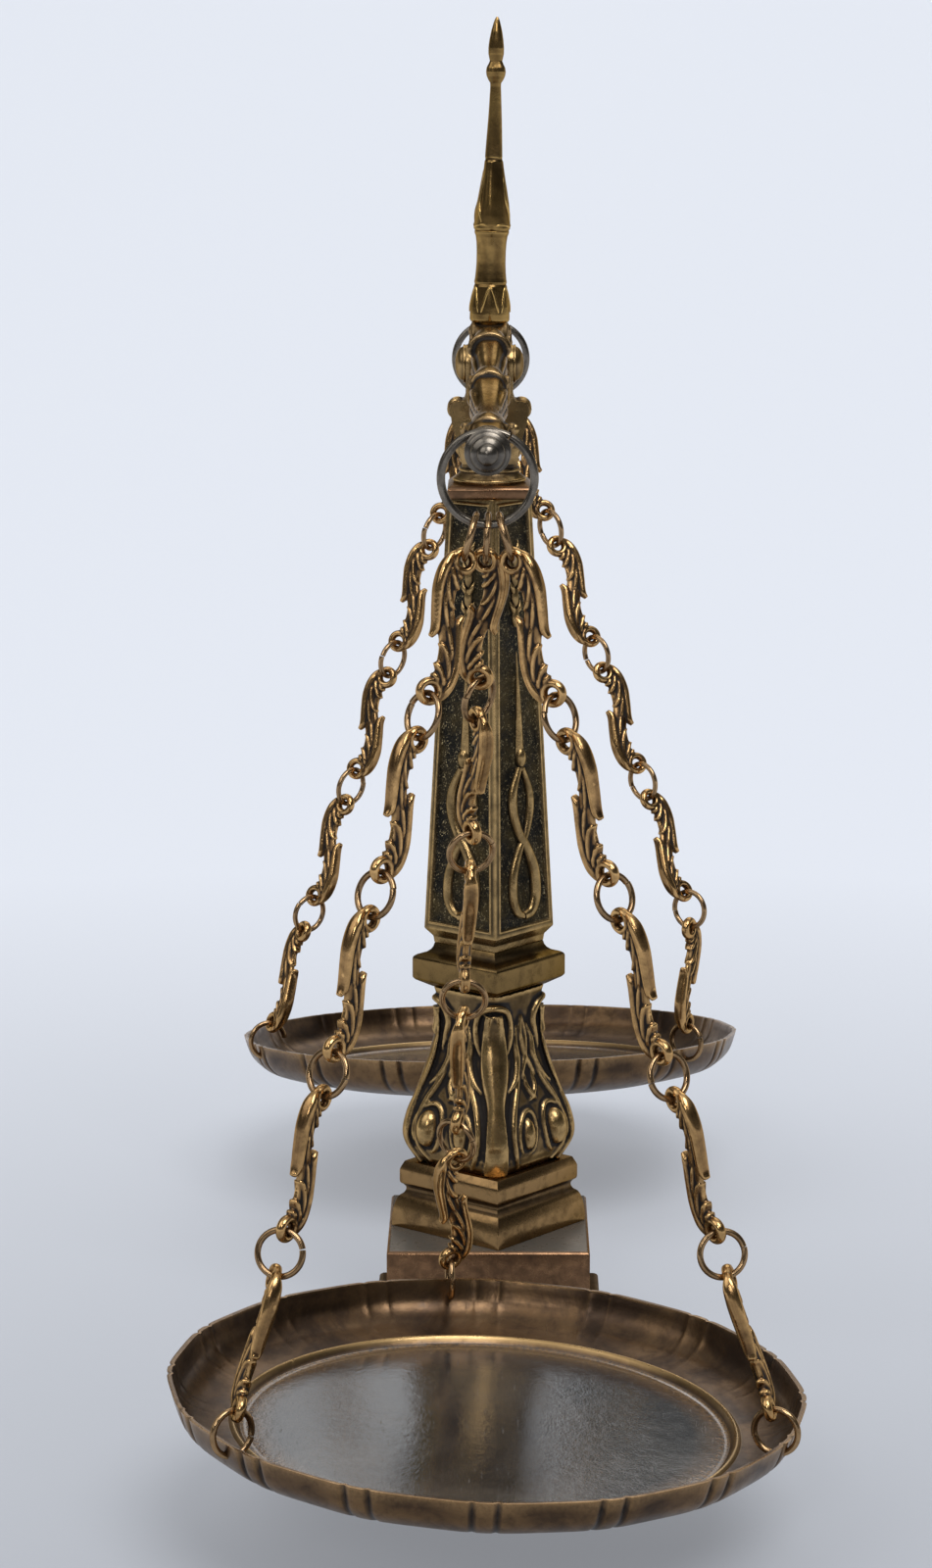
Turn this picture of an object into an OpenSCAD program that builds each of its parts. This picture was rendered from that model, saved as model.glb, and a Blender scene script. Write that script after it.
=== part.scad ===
// Ornamental balance scale: a square brass column on a stepped foot, a scrolled beam
// that rocks in a fork, and two pans that hang from stirrup rings on three chains each.
// Millimetres, +Z up, origin at the middle of the underside. The beam lies along X,
// "near" is +X, "far" is -X, "left" is -Y and "right" is +Y.

/* [Base] */
// Side of the square felt pad
felt_w = 76; // [60:1:79]
// Thickness of the felt pad
felt_t = 1.5; // [1:0.5:3]
// Side of the square step plate
step_w = 81; // [76:1:90]
// Thickness of the step plate
step_t = 8; // [7:1:12]
// Side of the plinth block
plinth_w = 71.6; // [68:0.2:75]
// Height of the plinth block
plinth_h = 31; // [24:1:36]
// Wall of the hollow plinth block
plinth_wall = 4; // [2:0.5:6]

/* [Column] */
// Turn of the column on the plinth, past the diagonal
column_twist = 5.9; // [0:0.1:8]
// Half diagonal of the lower foot moulding
moulding_r = 35.1; // [33:0.1:35.8]
// Widest half diagonal of the baluster
vase_r = 29.8; // [27:0.1:31]
// Half diagonal of the collar
collar_r = 27.4; // [25:0.1:30]
// Half diagonal of the shaft at its foot
shaft_foot_r = 23.1; // [21:0.1:25]
// Half diagonal of the shaft at its top
shaft_top_r = 14.8; // [13.5:0.1:18]
// Depth of the sunk panels in the shaft
panel_depth = 1; // [0.4:0.1:1.5]
// Side of the cap plate
cap_w = 29; // [26:0.5:32]
// Radius of the tie rod
rod_r = 4; // [3:0.5:4]

/* [Fork and pivot] */
// Height of the pivot above the cap plate
pivot_rise = 41; // [40:0.5:44]
// Radius of the pivot pin
pin_r = 2.5; // [2:0.1:3]
// Running clearance of the pin in its bush
pin_gap = 0.06; // [0.02:0.01:0.1]
// Radius of the domed pivot nuts
rosette_r = 6.7; // [6:0.1:8]

/* [Beam] */
// Distance from the pivot to each stirrup groove
arm_l = 203; // [198:1:210]
// Drop from the pivot to the axis of the end knobs
knob_drop = 7.7; // [6:0.1:10]
// Radius of the beam's hub
hub_r = 14.8; // [13:0.1:16]
// Thickness of the hub
hub_t = 10.6; // [9:0.1:10.8]
// Radius of the groove that carries a stirrup
groove_r = 4; // [3:0.1:4.5]
// Radius of the end knobs
knob_r = 7; // [6:0.1:8]
// Lean of the pointer towards +Y
pointer_lean = 1.4; // [0:0.1:3]

/* [Stirrups and pans] */
// Centreline radius of a stirrup ring
stirrup_r = 14.05; // [13.5:0.05:15]
// Wire radius of a stirrup ring
stirrup_wire = 1.3; // [1.1:0.1:1.5]
// Radius of a pan over its rim
pan_r = 100; // [90:1:110]
// Thickness of a pan's sheet
pan_t = 1.5; // [1:0.1:2]
// Height of the near pan's rim above the table
near_rim_z = 49.5; // [47:0.5:60]
// Height of the far pan's rim above the table
far_rim_z = 60; // [55:0.5:66]
// Dip of the near pan towards the near side
near_dip = 1.4; // [0:0.1:3]
// Dip of the near pan towards the right
near_roll = 2.5; // [0:0.1:4]
// Dip of the far pan away from the near side
far_dip = 7.4; // [0:0.1:8]
// Rise of the far pan's right side
far_roll = 0.8; // [0:0.1:3]

/* [Chains] */
// Centreline radius of a jump ring
ring_r = 7; // [6.8:0.1:7.6]
// Wire radius of a jump ring
ring_wire = 1; // [0.9:0.05:1.1]
// Centreline radius of a link's eye
eye_r = 3.1; // [3:0.1:3.4]
// Radius of the bar round a link's eye
eye_bar = 1.3; // [1.1:0.05:1.4]
// Thickness of a link
link_t = 4.6; // [3.6:0.2:5.4]
// Slack of the far right chain
far_slack = 5; // [2:1:10]

/* [Hidden] */
$fn = 48;

// Heights of the joints between the stacked pieces
step_z = felt_t + step_t;
plinth_z = step_z + plinth_h;
moulding_z = plinth_z + 24;
vase_z = moulding_z + 64;
collar_z = vase_z + 16;
shaft_z = plinth_z + 263.4;
cap_z = shaft_z + 4.8;
pivot_z = cap_z + pivot_rise;
knob_z = pivot_z - knob_drop;

// Clearance between a ring and what it hangs on, and room round the tie rod
hang_gap = 0.25;
rod_gap = 0.3;
slot_gap = 0.3;

// Steps of the shaft's panel: margin at the sides, foot and top, all along one face
panel_margin = 3;
panel_foot = 8;
panel_top = 5;

// Pans hang under the stirrups, which hang on the knobs' grooves
stirrup_z = knob_z + groove_r + hang_gap + stirrup_wire - stirrup_r;
stirrup_spread = 17;
hook_drop = ring_r - ring_wire - stirrup_wire - hang_gap;
hole_drop = 4.6;
hole_inset = 2.2;
hole_r = 2.1;
hole_lean = 18;
eye_drop = ring_r - ring_wire - eye_bar - hang_gap + eye_r;

// Pan outline, from the rim inwards: distance in from the rim and depth below it
pan_wall = [[0, 0], [0.7, 2.2], [1.6, 5], [3, 8], [5.4, 10.6], [9, 12.8], [14.5, 14.4], [20, 15.2]];
pan_floor_in = 24.5;
pan_depth = 16.6;

// Direction of each rim hole from +X, and how the rings and links of its chain turn
// about the chain, from the stirrup down
near_holes = [187.6, -52.4, 67.6];
far_holes = [172, -68, 52];
near_turns = [
    [180, 166, 142, 120, 104, 96, 88, 76, 54, 30, 7.6],
    [0, 24, 40, 45, 48, 50, 52, 58, 76, 102, 127.6],
    [180, 156, 140, 135, 132, 130, 128, 122, 104, 82, 67.6]
];
far_turns = [
    [0, 12, 28, 35, 40, 40, 40, 35, 30, 10, -8],
    [0, -15, -34, -26, -38, -28, -40, -40, -48, -60, -68],
    [180, 195, 214, 206, 218, 208, 220, 222, 232, 240, 232]
];

// Vector helpers
function unit(v) = v / norm(v);
function turn_x(v, a) = [v.x, v.y * cos(a) - v.z * sin(a), v.y * sin(a) + v.z * cos(a)];
function turn_y(v, a) = [v.x * cos(a) + v.z * sin(a), v.y, -v.x * sin(a) + v.z * cos(a)];
function tilted(v, dip, roll) = turn_x(turn_y(v, dip), roll);

// A side is +1 for near and -1 for far
function pan_centre(side) = [side * arm_l, 0, side > 0 ? near_rim_z : far_rim_z];
function pan_dip(side) = side > 0 ? near_dip : -far_dip;
function pan_roll(side) = side > 0 ? -near_roll : far_roll;
function hole_angle(side, i) = side > 0 ? near_holes[i] : far_holes[i];
function turns(side, i) = side > 0 ? near_turns[i] : far_turns[i];

// Centre of rim hole i, and the point of the stirrup that its chain hangs from
function rim_hole(side, i) =
    let (a = hole_angle(side, i), r = pan_r - hole_inset)
    pan_centre(side) + tilted([r * cos(a), r * sin(a), -hole_drop], pan_dip(side), pan_roll(side));
function hook(side, i) =
    let (a = [0, -stirrup_spread, stirrup_spread][i])
    [side * arm_l, stirrup_r * sin(a), stirrup_z - stirrup_r * cos(a)];

// Where a slack chain bends: the point at reach from a and last from b, on the side of
// the line that way points to
function bend(a, b, reach, last, way) =
    let (u = unit(b - a), d = norm(b - a), along = (d * d + reach * reach - last * last) / (2 * d))
    a + along * u + sqrt(reach * reach - along * along) * unit(way - (way * u) * u);

// Slack of a chain: only the far right one has some, and it bends outwards in the plane
// of its fourth ring
function slack(side, i) = side < 0 && i == 2 ? far_slack : 0;
function bend_way(side, i) = let (turn = turns(side, i)[8]) [-cos(turn), -sin(turn), 0];

// Centres of a chain's six jump rings, from the stirrup to the rim
function chain(side, i) =
    let (a = hook(side, i), b = rim_hole(side, i), spare = slack(side, i),
         pitch = (norm(b - a) - hook_drop - ring_r + spare) / 5,
         knee = spare > 0 ? bend(a, b, hook_drop + 4 * pitch, pitch + ring_r, bend_way(side, i)) : b,
         first = a + hook_drop * unit(knee - a),
         last = spare > 0 ? b - ring_r * unit(b - knee) : b - ring_r * unit(b - a),
         fourth = spare > 0 ? knee : first + 0.8 * (last - first))
    [for (k = [0 : 5]) k == 5 ? last : first + k / 4 * (fourth - first)];

// Stand the children's Z axis along direction up, with their Y axis at turn about it
module along(up, turn) {
    lean = acos(up.z / norm(up));
    way = atan2(up.y, up.x);
    rotate([0, lean, way]) rotate([0, 0, turn - way - 90]) children();
}

// A square moulding: half widths [half, z] from the bottom up, mitred at the corners
module square_moulding(profile, reach = 60) {
    outline = concat(profile, [for (k = [len(profile) - 1 : -1 : 0]) [-profile[k][0], profile[k][1]]]);
    intersection() {
        rotate([90, 0, 0]) linear_extrude(height = 2 * reach, center = true) polygon(outline);
        rotate([90, 0, 90]) linear_extrude(height = 2 * reach, center = true) polygon(outline);
    }
}

// The same with half diagonals, stood with a corner towards the near pan
module diagonal_moulding(profile) {
    rotate([0, 0, 45 + column_twist])
        square_moulding([for (p = profile) [p[0] / sqrt(2), p[1]]]);
}

module rod_bore(z0, z1) {
    translate([0, 0, z0 - 1]) cylinder(r = rod_r + rod_gap, h = z1 - z0 + 2);
}

module felt_pad() {
    color("darkolivegreen") translate([-felt_w / 2, -felt_w / 2, 0]) cube([felt_w, felt_w, felt_t]);
}

module step_plate() {
    half = step_w / 2;
    color("saddlebrown") difference() {
        square_moulding([[half, felt_t], [half, step_z - 1.5], [half - 1.5, step_z]]);
        translate([0, 0, felt_t - 1]) cylinder(r = 14, h = 6);
        rod_bore(felt_t, step_z);
    }
}

module plinth_block() {
    half = plinth_w / 2;
    cavity = plinth_w - 2 * plinth_wall;
    color("peru") difference() {
        square_moulding([[half, step_z], [half, plinth_z - 0.6], [half - 0.6, plinth_z]]);
        translate([-cavity / 2, -cavity / 2, step_z - 1]) cube([cavity, cavity, plinth_h - plinth_wall + 1]);
        rod_bore(step_z, plinth_z);
    }
}

// Lower ovolo, dark cove and upper moulding, cast as one
module foot_moulding() {
    r = moulding_r;
    color("darkgoldenrod") difference() {
        diagonal_moulding([
            [r, plinth_z], [r, plinth_z + 3], [r - 0.7, plinth_z + 7], [r - 2, plinth_z + 11],
            [r - 4.6, plinth_z + 12.2], [r - 5.4, plinth_z + 14], [r - 4.2, plinth_z + 15.4],
            [r - 3, plinth_z + 16], [r - 2.9, plinth_z + 21], [r - 4.8, moulding_z]
        ]);
        rod_bore(plinth_z, moulding_z);
    }
}

// Half diagonals of the baluster by height above the foot moulding
vase_profile = [
    [24, 0], [27.6, 2.6], [29.3, 6], [29.8, 9.8], [29.4, 14], [28.2, 19], [26.2, 24.5], [23.8, 30],
    [21.4, 36], [19.6, 42], [18.5, 48], [18.1, 53], [18.3, 57], [19, 61], [20, 64]
];

// Squarish baluster with a leaf on each corner and two bosses low on each face
module baluster() {
    grow = vase_r / 29.8;
    square = 0.78;
    leaf_w = 15;
    leaf_t = 1.1;
    boss_r = 6.5;
    boss_z = moulding_z + 12;
    color("goldenrod") difference() {
        union() {
            intersection() {
                translate([0, 0, moulding_z])
                    rotate_extrude() polygon(concat([[0, 0]], grow * vase_profile, [[0, 64]]));
                rotate([0, 0, 45 + column_twist])
                    square_moulding([for (p = vase_profile) [grow * p[0] * square, moulding_z + p[1]]]);
            }
            for (k = [0 : 1]) rotate([0, 0, column_twist + 90 * k]) intersection() {
                translate([0, 0, moulding_z])
                    rotate_extrude() polygon(concat([[0, 1]], [for (p = vase_profile)
                        [grow * p[0] + leaf_t * sin(180 * p[1] / 64), 1 + p[1] * 62 / 64]], [[0, 63]]));
                rotate([90, 0, 90]) linear_extrude(height = 80, center = true) polygon([
                    [-leaf_w / 2, moulding_z], [leaf_w / 2, moulding_z], [leaf_w * 0.4, moulding_z + 30],
                    [leaf_w * 0.3, moulding_z + 63], [-leaf_w * 0.3, moulding_z + 63],
                    [-leaf_w * 0.4, moulding_z + 30]
                ]);
            }
            for (k = [0 : 3], s = [-1, 1])
                rotate([0, 0, column_twist + 45 + 90 * k])
                    translate([grow * 22.6 - boss_r + 2, s * 8.2, boss_z]) sphere(r = boss_r);
        }
        rod_bore(moulding_z, vase_z);
    }
}

module collar() {
    r = collar_r;
    color("darkgoldenrod") difference() {
        diagonal_moulding([
            [r - 7.2, vase_z], [r - 1, vase_z + 2.6], [r, vase_z + 3.4], [r, vase_z + 10.6],
            [r - 1.2, vase_z + 11.6], [r - 5, vase_z + 12.6], [r - 7, vase_z + 14], [r - 7.9, collar_z]
        ]);
        rod_bore(vase_z, collar_z);
    }
}

// Tapered square shaft with a sunk panel in each face
module column_shaft() {
    foot = shaft_foot_r;
    top = shaft_top_r;
    flare_z = collar_z + 5.4;
    face = [foot / sqrt(2), top / sqrt(2)];
    slope = atan2(face[0] - face[1], shaft_z - flare_z);
    length = (shaft_z - flare_z) / cos(slope);
    color("olive") difference() {
        diagonal_moulding([
            [foot - 3.6, collar_z], [foot - 3.2, collar_z + 2.4], [foot, flare_z], [top, shaft_z]
        ]);
        for (k = [0 : 3]) rotate([0, 0, column_twist + 45 + 90 * k])
            translate([face[0], 0, flare_z]) rotate([0, -slope, 0])
                rotate([90, 0, 90]) translate([0, 0, -panel_depth]) linear_extrude(height = 4) polygon([
                    [-face[0] + panel_margin, panel_foot], [face[0] - panel_margin, panel_foot],
                    [face[1] - panel_margin, length - panel_top], [-face[1] + panel_margin, length - panel_top]
                ]);
        rod_bore(collar_z, shaft_z);
    }
}

module cap_plate() {
    half = cap_w / 2;
    color("darkgoldenrod") difference() {
        square_moulding([
            [half - 1, shaft_z], [half, shaft_z + 0.8], [half, shaft_z + 3.4], [half - 1.4, cap_z]
        ]);
        rod_bore(shaft_z, cap_z);
    }
}

// Turned neck with two cheeks, which carry the pivot and end in a small roll outside
module fork() {
    slot = hub_t / 2 + slot_gap;
    cheek = slot + 2.6;
    front = [
        [9.4, 7], [10.4, 12], [11.8, 17], [13, 21], [13.5, 25], [12.6, 28.2], [cheek + 0.6, 28.8],
        [cheek, 30.5], [cheek, pivot_rise + 7]
    ];
    side = [[9.4, 7], [9, 13], [7.8, 19], [6.8, 26], [6.6, pivot_rise]];
    color("goldenrod") difference() {
        union() {
            translate([0, 0, cap_z]) rotate_extrude() polygon([
                [0, 0], [12.4, 0], [12.4, 1.6], [10.6, 3.2], [9.8, 4.6], [9.4, 8], [9, 14], [0, 14]
            ]);
            intersection() {
                translate([0, 0, cap_z]) rotate([90, 0, 90]) linear_extrude(height = 30, center = true)
                    polygon(concat(front, [for (k = [len(front) - 1 : -1 : 0]) [-front[k][0], front[k][1]]]));
                union() {
                    translate([0, 0, cap_z]) rotate([90, 0, 0]) linear_extrude(height = 40, center = true)
                        polygon(concat(side, [for (k = [len(side) - 1 : -1 : 0]) [-side[k][0], side[k][1]]]));
                    translate([0, 0, pivot_z]) rotate([90, 0, 0]) cylinder(r = 6.6, h = 40, center = true);
                }
            }
            for (s = [-1, 1]) translate([0, s * 11, cap_z + 25.6]) rotate([0, 90, 0])
                cylinder(r = 3, h = 13.4, center = true);
        }
        translate([-20, -slot, pivot_z - hub_r - 2.6]) cube([40, 2 * slot, 40]);
        translate([0, 0, pivot_z]) rotate([90, 0, 0]) cylinder(r = pin_r, h = 40, center = true);
        translate([0, 0, cap_z - 1]) cylinder(r = rod_r, h = 11);
    }
}

module tie_rod() {
    color("gray") translate([0, 0, felt_t + 0.2]) cylinder(r = rod_r, h = cap_z + 9.6 - felt_t);
}

module tie_washer() {
    color("silver") translate([0, 0, felt_t + 4]) difference() {
        cylinder(r = 11, h = 1);
        translate([0, 0, -1]) cylinder(r = rod_r + rod_gap, h = 3);
    }
}

module tie_nut() {
    color("silver") translate([0, 0, felt_t + 0.4]) difference() {
        cylinder(r = 7.5, h = 3.6, $fn = 6);
        translate([0, 0, -1]) cylinder(r = rod_r, h = 6);
    }
}

module pivot_pin() {
    half = hub_t / 2 + slot_gap + 2.6 + 2.4;
    color("silver") translate([0, 0, pivot_z]) rotate([90, 0, 0])
        cylinder(r = pin_r, h = 2 * half, center = true);
}

// Domed nut on the end of the pivot pin, outside the cheek
module rosette(side) {
    cheek = hub_t / 2 + slot_gap + 2.6;
    rise = 3.8;
    dome_r = (rosette_r * rosette_r + rise * rise) / (2 * rise);
    translate([0, side * cheek, pivot_z]) rotate([-90 * side, 0, 0]) difference() {
        intersection() {
            translate([0, 0, rise - dome_r]) sphere(r = dome_r);
            cylinder(r = rosette_r, h = rise + 1);
        }
        translate([0, 0, -1]) cylinder(r = pin_r, h = 1 + 2.4);
    }
}

module left_rosette() { color("goldenrod") rosette(-1); }
module right_rosette() { color("goldenrod") rosette(1); }

// One arm's height and thickness along X: three scrolls, each smaller than the last
scroll_pitch = 70;
first_scroll = 30;
arm_end = arm_l - 15;
function wave(x) = cos(360 * (x - first_scroll) / scroll_pitch);
function arm_mid(x) =
    let (f = 1 - x / arm_end)
    knob_z + 9.5 * pow(f, 1.1) + 1.2 * sin(180 * f) + 1.6 * f * wave(x);
function arm_half(x) = 3.4 + 7.2 * (1 - x / (arm_end - 3)) + 1.7 * wave(x);
function arm_side(x) = 4.5 + 1.1 * wave(x);

module beam_arm() {
    xs = [for (k = [0 : 31]) k * arm_end / 31];
    intersection() {
        rotate([90, 0, 0]) linear_extrude(height = 20, center = true) polygon(concat(
            [for (x = xs) [x, arm_mid(x) + arm_half(x)]],
            [for (k = [31 : -1 : 0]) [xs[k], arm_mid(xs[k]) - arm_half(xs[k])]]
        ));
        translate([0, 0, knob_z - 40]) linear_extrude(height = 80) polygon(concat(
            [for (x = xs) [x, arm_side(x)]],
            [for (k = [31 : -1 : 0]) [xs[k], -arm_side(xs[k])]]
        ));
    }
    for (k = [0 : 2]) {
        x = first_scroll + k * scroll_pitch;
        r = [7.2, 5.6, 4.4][k];
        w = [12.4, 14, 16.6][k];
        translate([x, 0, arm_mid(x) - [2, -1.5, 0.6][k]]) rotate([90, 0, 0])
            cylinder(r = r, h = w, center = true);
    }
}

module beam_casting() {
    color("goldenrod") difference() {
        union() {
            translate([0, 0, pivot_z]) rotate([90, 0, 0]) cylinder(r = hub_r, h = hub_t, center = true);
            translate([0, 0, pivot_z]) cylinder(r = 5.2, h = hub_r);
            beam_arm();
            mirror([1, 0, 0]) beam_arm();
        }
        translate([0, 0, pivot_z]) rotate([90, 0, 0]) cylinder(r = pin_r + 1.7, h = 30, center = true);
        pointer_axis() translate([0, 0, -5]) cylinder(r = 2, h = 10);
    }
}

module pivot_bush() {
    color("darkgoldenrod") translate([0, 0, pivot_z]) rotate([90, 0, 0]) difference() {
        cylinder(r = pin_r + 1.7, h = hub_t, center = true);
        cylinder(r = pin_r + pin_gap, h = hub_t + 2, center = true);
    }
}

// Turned knob at the beam's end, with the groove that a stirrup hangs in
module knob() {
    r = knob_r;
    translate([arm_end, 0, knob_z]) rotate([0, 90, 0]) rotate_extrude() polygon([
        [0, 0], [5, 0], [5.4, 1], [4.6, 2.4], [6, 3.6], [6.4, 6], [6, 8.6], [5, 10.2], [groove_r, 12],
        [groove_r, 17.4], [5.2, 18.8], [r - 0.4, 19.4], [r, 20.4], [r, 22.6], [r - 0.9, 23.4],
        [r - 0.2, 24.4], [r - 0.6, 26], [r - 1.6, 26.6], [4, 28], [2.6, 28.6], [2.2, 29.8], [0, 30.4]
    ]);
}

module near_knob() { color("dimgray") knob(); }
module far_knob() { color("dimgray") mirror([1, 0, 0]) knob(); }

// The pointer stands on the hub and leans a little
pointer_z = pivot_z + hub_r;
module pointer_axis() {
    translate([0, 0, pointer_z]) rotate([-pointer_lean, 0, 0]) children();
}

module pointer_stud() {
    color("gray") pointer_axis() translate([0, 0, -5]) cylinder(r = 2, h = 64);
}

module pointer_piece(profile) {
    pointer_axis() rotate_extrude() polygon(profile);
}

module pointer_collar() {
    color("goldenrod") difference() {
        pointer_piece([[2, -1], [6, -1], [6.4, 3], [6.5, 6], [5.9, 9], [5.3, 12.8], [2, 12.8]]);
        translate([-20, -20, pointer_z - 10]) cube([40, 40, 10]);
    }
}

module pointer_tube() {
    color("darkgoldenrod")
        pointer_piece([[2, 12.8], [5.6, 12.8], [5.3, 18], [5.2, 24], [5.5, 29], [5.8, 31.2], [2, 31.2]]);
}

module pointer_calyx() {
    color("goldenrod") pointer_piece([
        [2, 31.2], [6.2, 31.2], [6, 33.6], [4.9, 40], [4.2, 47], [3.4, 54.6], [2.9, 55.2], [2.9, 56], [2, 56]
    ]);
}

module pointer_tip() {
    color("goldenrod") difference() {
        pointer_piece([
            [0, 56], [3, 56], [2.6, 64], [2.2, 72], [1.8, 80], [1.8, 81.4], [2.6, 82.4], [3.3, 85], [2.6, 87.4],
            [2.1, 88.6], [2.6, 91], [2.6, 94], [1.9, 98.6], [1, 102], [0.4, 103.6], [0, 103.6]
        ]);
        pointer_axis() translate([0, 0, 50]) cylinder(r = 2, h = 9);
    }
}

module ring(radius, wire) {
    rotate([0, 90, 0]) rotate_extrude() translate([radius, 0]) circle(r = wire);
}

module stirrup(side) {
    color("dimgray") translate([side * arm_l, 0, stirrup_z]) ring(stirrup_r, stirrup_wire);
}

module hanger_rings(side) {
    color("peru") for (i = [0 : 2]) {
        p = chain(side, i);
        translate(p[0]) along(hook(side, i) - p[0], turns(side, i)[0]) ring(ring_r, ring_wire);
    }
}

// Jump rings 1 to 5 of chain i; the last goes through the pan's rim
module chain_rings(side, i) {
    p = chain(side, i);
    color("peru") for (k = [1 : 5]) {
        up = k == 5 ? p[5] - rim_hole(side, i) : p[k - 1] - p[k + (k < 5 ? 1 : 0)];
        translate(p[k]) along(up, turns(side, i)[2 * k]) ring(ring_r, ring_wire);
    }
}

// Outer and inner edge of a link's upper leaf, as [x, height in spans above the middle]:
// it starts broad under the eye, bows out and flicks up at its tail
leaf_outer = [
    [3.4, 0.51], [5.2, 0.49], [6.7, 0.44], [7.5, 0.36], [7.4, 0.26], [6.7, 0.17], [5.9, 0.08], [5.1, 0],
    [4.7, -0.05], [5.2, -0.11]
];
leaf_inner = [
    [3.6, -0.115], [2.6, -0.06], [1.6, 0.02], [0.6, 0.1], [-0.4, 0.17], [-1.1, 0.25], [-0.8, 0.33],
    [-2.4, 0.42]
];
stem = [[-1.6, 0.3], [2, 0.16], [2.7, -0.02], [1.6, -0.3], [-2, -0.16], [-2.7, 0.02]];

// Points of a flat outline whose heights are in spans
function in_spans(points, span) = [for (p = points) [p[0], p[1] * span]];

// A link stands in the XZ plane with its eyes span apart and their holes along Y
module link(span) {
    difference() {
        union() {
            for (s = [0, 180]) rotate([0, s, 0]) {
                translate([0, 0, span / 2]) rotate([90, 0, 0]) rotate_extrude() translate([eye_r, 0])
                    circle(r = eye_bar);
                rotate([90, 0, 0]) linear_extrude(height = link_t, center = true)
                    polygon(in_spans(concat(leaf_outer, leaf_inner), span));
            }
            rotate([90, 0, 0]) linear_extrude(height = link_t - 0.8, center = true)
                polygon(in_spans(stem, span));
        }
        for (s = [-1, 1]) translate([0, 0, s * span / 2]) rotate([90, 0, 0])
            cylinder(r = eye_r - eye_bar, h = link_t + 2, center = true);
    }
}

module chain_links(side, i) {
    p = chain(side, i);
    color("goldenrod") for (k = [1 : 5]) {
        up = p[k - 1] - p[k];
        translate((p[k - 1] + p[k]) / 2) along(up, turns(side, i)[2 * k - 1]) link(norm(up) - 2 * eye_drop);
    }
}

// Spun dish with a rounded wall and a flat floor, drilled for its three rim rings
module pan(side) {
    last = len(pan_wall) - 1;
    floor_r = pan_r - pan_floor_in;
    outer = [for (k = [last : -1 : 0]) [pan_r - pan_wall[k][0], -pan_wall[k][1]]];
    inner = [for (k = [0 : last])
        let (a = 90 * k / last)
        [pan_r - pan_wall[k][0] - pan_t * cos(a), -pan_wall[k][1] + pan_t * sin(a)]];
    color("sienna") translate(pan_centre(side)) rotate([pan_roll(side), 0, 0]) rotate([0, pan_dip(side), 0])
        difference() {
            rotate_extrude() polygon(concat(
                [[0, -pan_depth], [floor_r, -pan_depth]], outer, inner,
                [[floor_r, pan_t - pan_depth], [0, pan_t - pan_depth]]
            ));
            for (i = [0 : 2]) rotate([0, 0, hole_angle(side, i)])
                translate([pan_r - hole_inset, 0, -hole_drop]) rotate([0, 90 - hole_lean, 0])
                    cylinder(r = hole_r, h = 12, center = true);
        }
}

module near_stirrup() { stirrup(1); }
module near_hanger_rings() { hanger_rings(1); }
module near_pan() { pan(1); }
module far_stirrup() { stirrup(-1); }
module far_hanger_rings() { hanger_rings(-1); }
module far_pan() { pan(-1); }

felt_pad();
step_plate();
plinth_block();
foot_moulding();
baluster();
collar();
column_shaft();
cap_plate();
fork();
tie_rod();
tie_washer();
tie_nut();
pivot_pin();
left_rosette();
right_rosette();
beam_casting();
pivot_bush();
near_knob();
far_knob();
pointer_stud();
pointer_collar();
pointer_tube();
pointer_calyx();
pointer_tip();
near_stirrup();
near_hanger_rings();
near_pan();
chain_links(1, 0);  // near_back_links
chain_links(1, 1);  // near_left_links
chain_links(1, 2);  // near_right_links
chain_rings(1, 0);  // near_back_rings
chain_rings(1, 1);  // near_left_rings
chain_rings(1, 2);  // near_right_rings
far_stirrup();
far_hanger_rings();
far_pan();
chain_links(-1, 0);  // far_back_links
chain_links(-1, 1);  // far_left_links
chain_links(-1, 2);  // far_right_links
chain_rings(-1, 0);  // far_back_rings
chain_rings(-1, 1);  // far_left_rings
chain_rings(-1, 2);  // far_right_rings
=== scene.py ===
"""Looks of an ornamental brass balance scale, built around its packed construction model."""

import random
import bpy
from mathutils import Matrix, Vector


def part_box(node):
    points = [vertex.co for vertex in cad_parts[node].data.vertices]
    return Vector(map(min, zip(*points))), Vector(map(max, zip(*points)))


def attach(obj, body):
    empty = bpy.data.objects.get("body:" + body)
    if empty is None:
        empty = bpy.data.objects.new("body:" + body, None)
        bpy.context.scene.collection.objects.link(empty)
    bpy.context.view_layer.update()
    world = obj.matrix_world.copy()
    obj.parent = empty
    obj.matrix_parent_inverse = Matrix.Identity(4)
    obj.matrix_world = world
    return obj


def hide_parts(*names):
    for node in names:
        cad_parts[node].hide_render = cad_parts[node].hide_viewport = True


bl_info = {
    "name": "Ornamental balance scale",
    "version": (1, 0, 0),
    "blender": (4, 5, 0),
    "location": "3D View > Sidebar > Balance",
    "description": "Carved brass column, scrolled beam, leaf chains and spun pans",
    "category": "Add Mesh",
}

from math import acos, atan2, cos, pi, radians, sin, sqrt

import bpy
import numpy as np
from mathutils import Matrix, Vector

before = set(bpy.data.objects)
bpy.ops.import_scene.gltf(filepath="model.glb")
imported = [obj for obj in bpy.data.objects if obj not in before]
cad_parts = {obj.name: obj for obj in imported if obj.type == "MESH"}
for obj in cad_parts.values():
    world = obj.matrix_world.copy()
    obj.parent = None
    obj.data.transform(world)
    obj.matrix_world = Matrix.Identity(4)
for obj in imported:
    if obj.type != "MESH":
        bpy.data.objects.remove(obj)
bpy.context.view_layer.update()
MM = 0.001
MERGE = 2e-6
SIDES = {"near": 1, "far": -1}
CHAINS = ("back", "left", "right")


def low(node):
    """Height of a construction node's underside, in millimetres."""
    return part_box(node)[0].z / MM


def high(node):
    """Height of a construction node's top, in millimetres."""
    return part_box(node)[1].z / MM


def middle(node):
    """Middle of a construction node's box, in millimetres."""
    a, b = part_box(node)
    return (a + b) / 2 / MM


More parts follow.
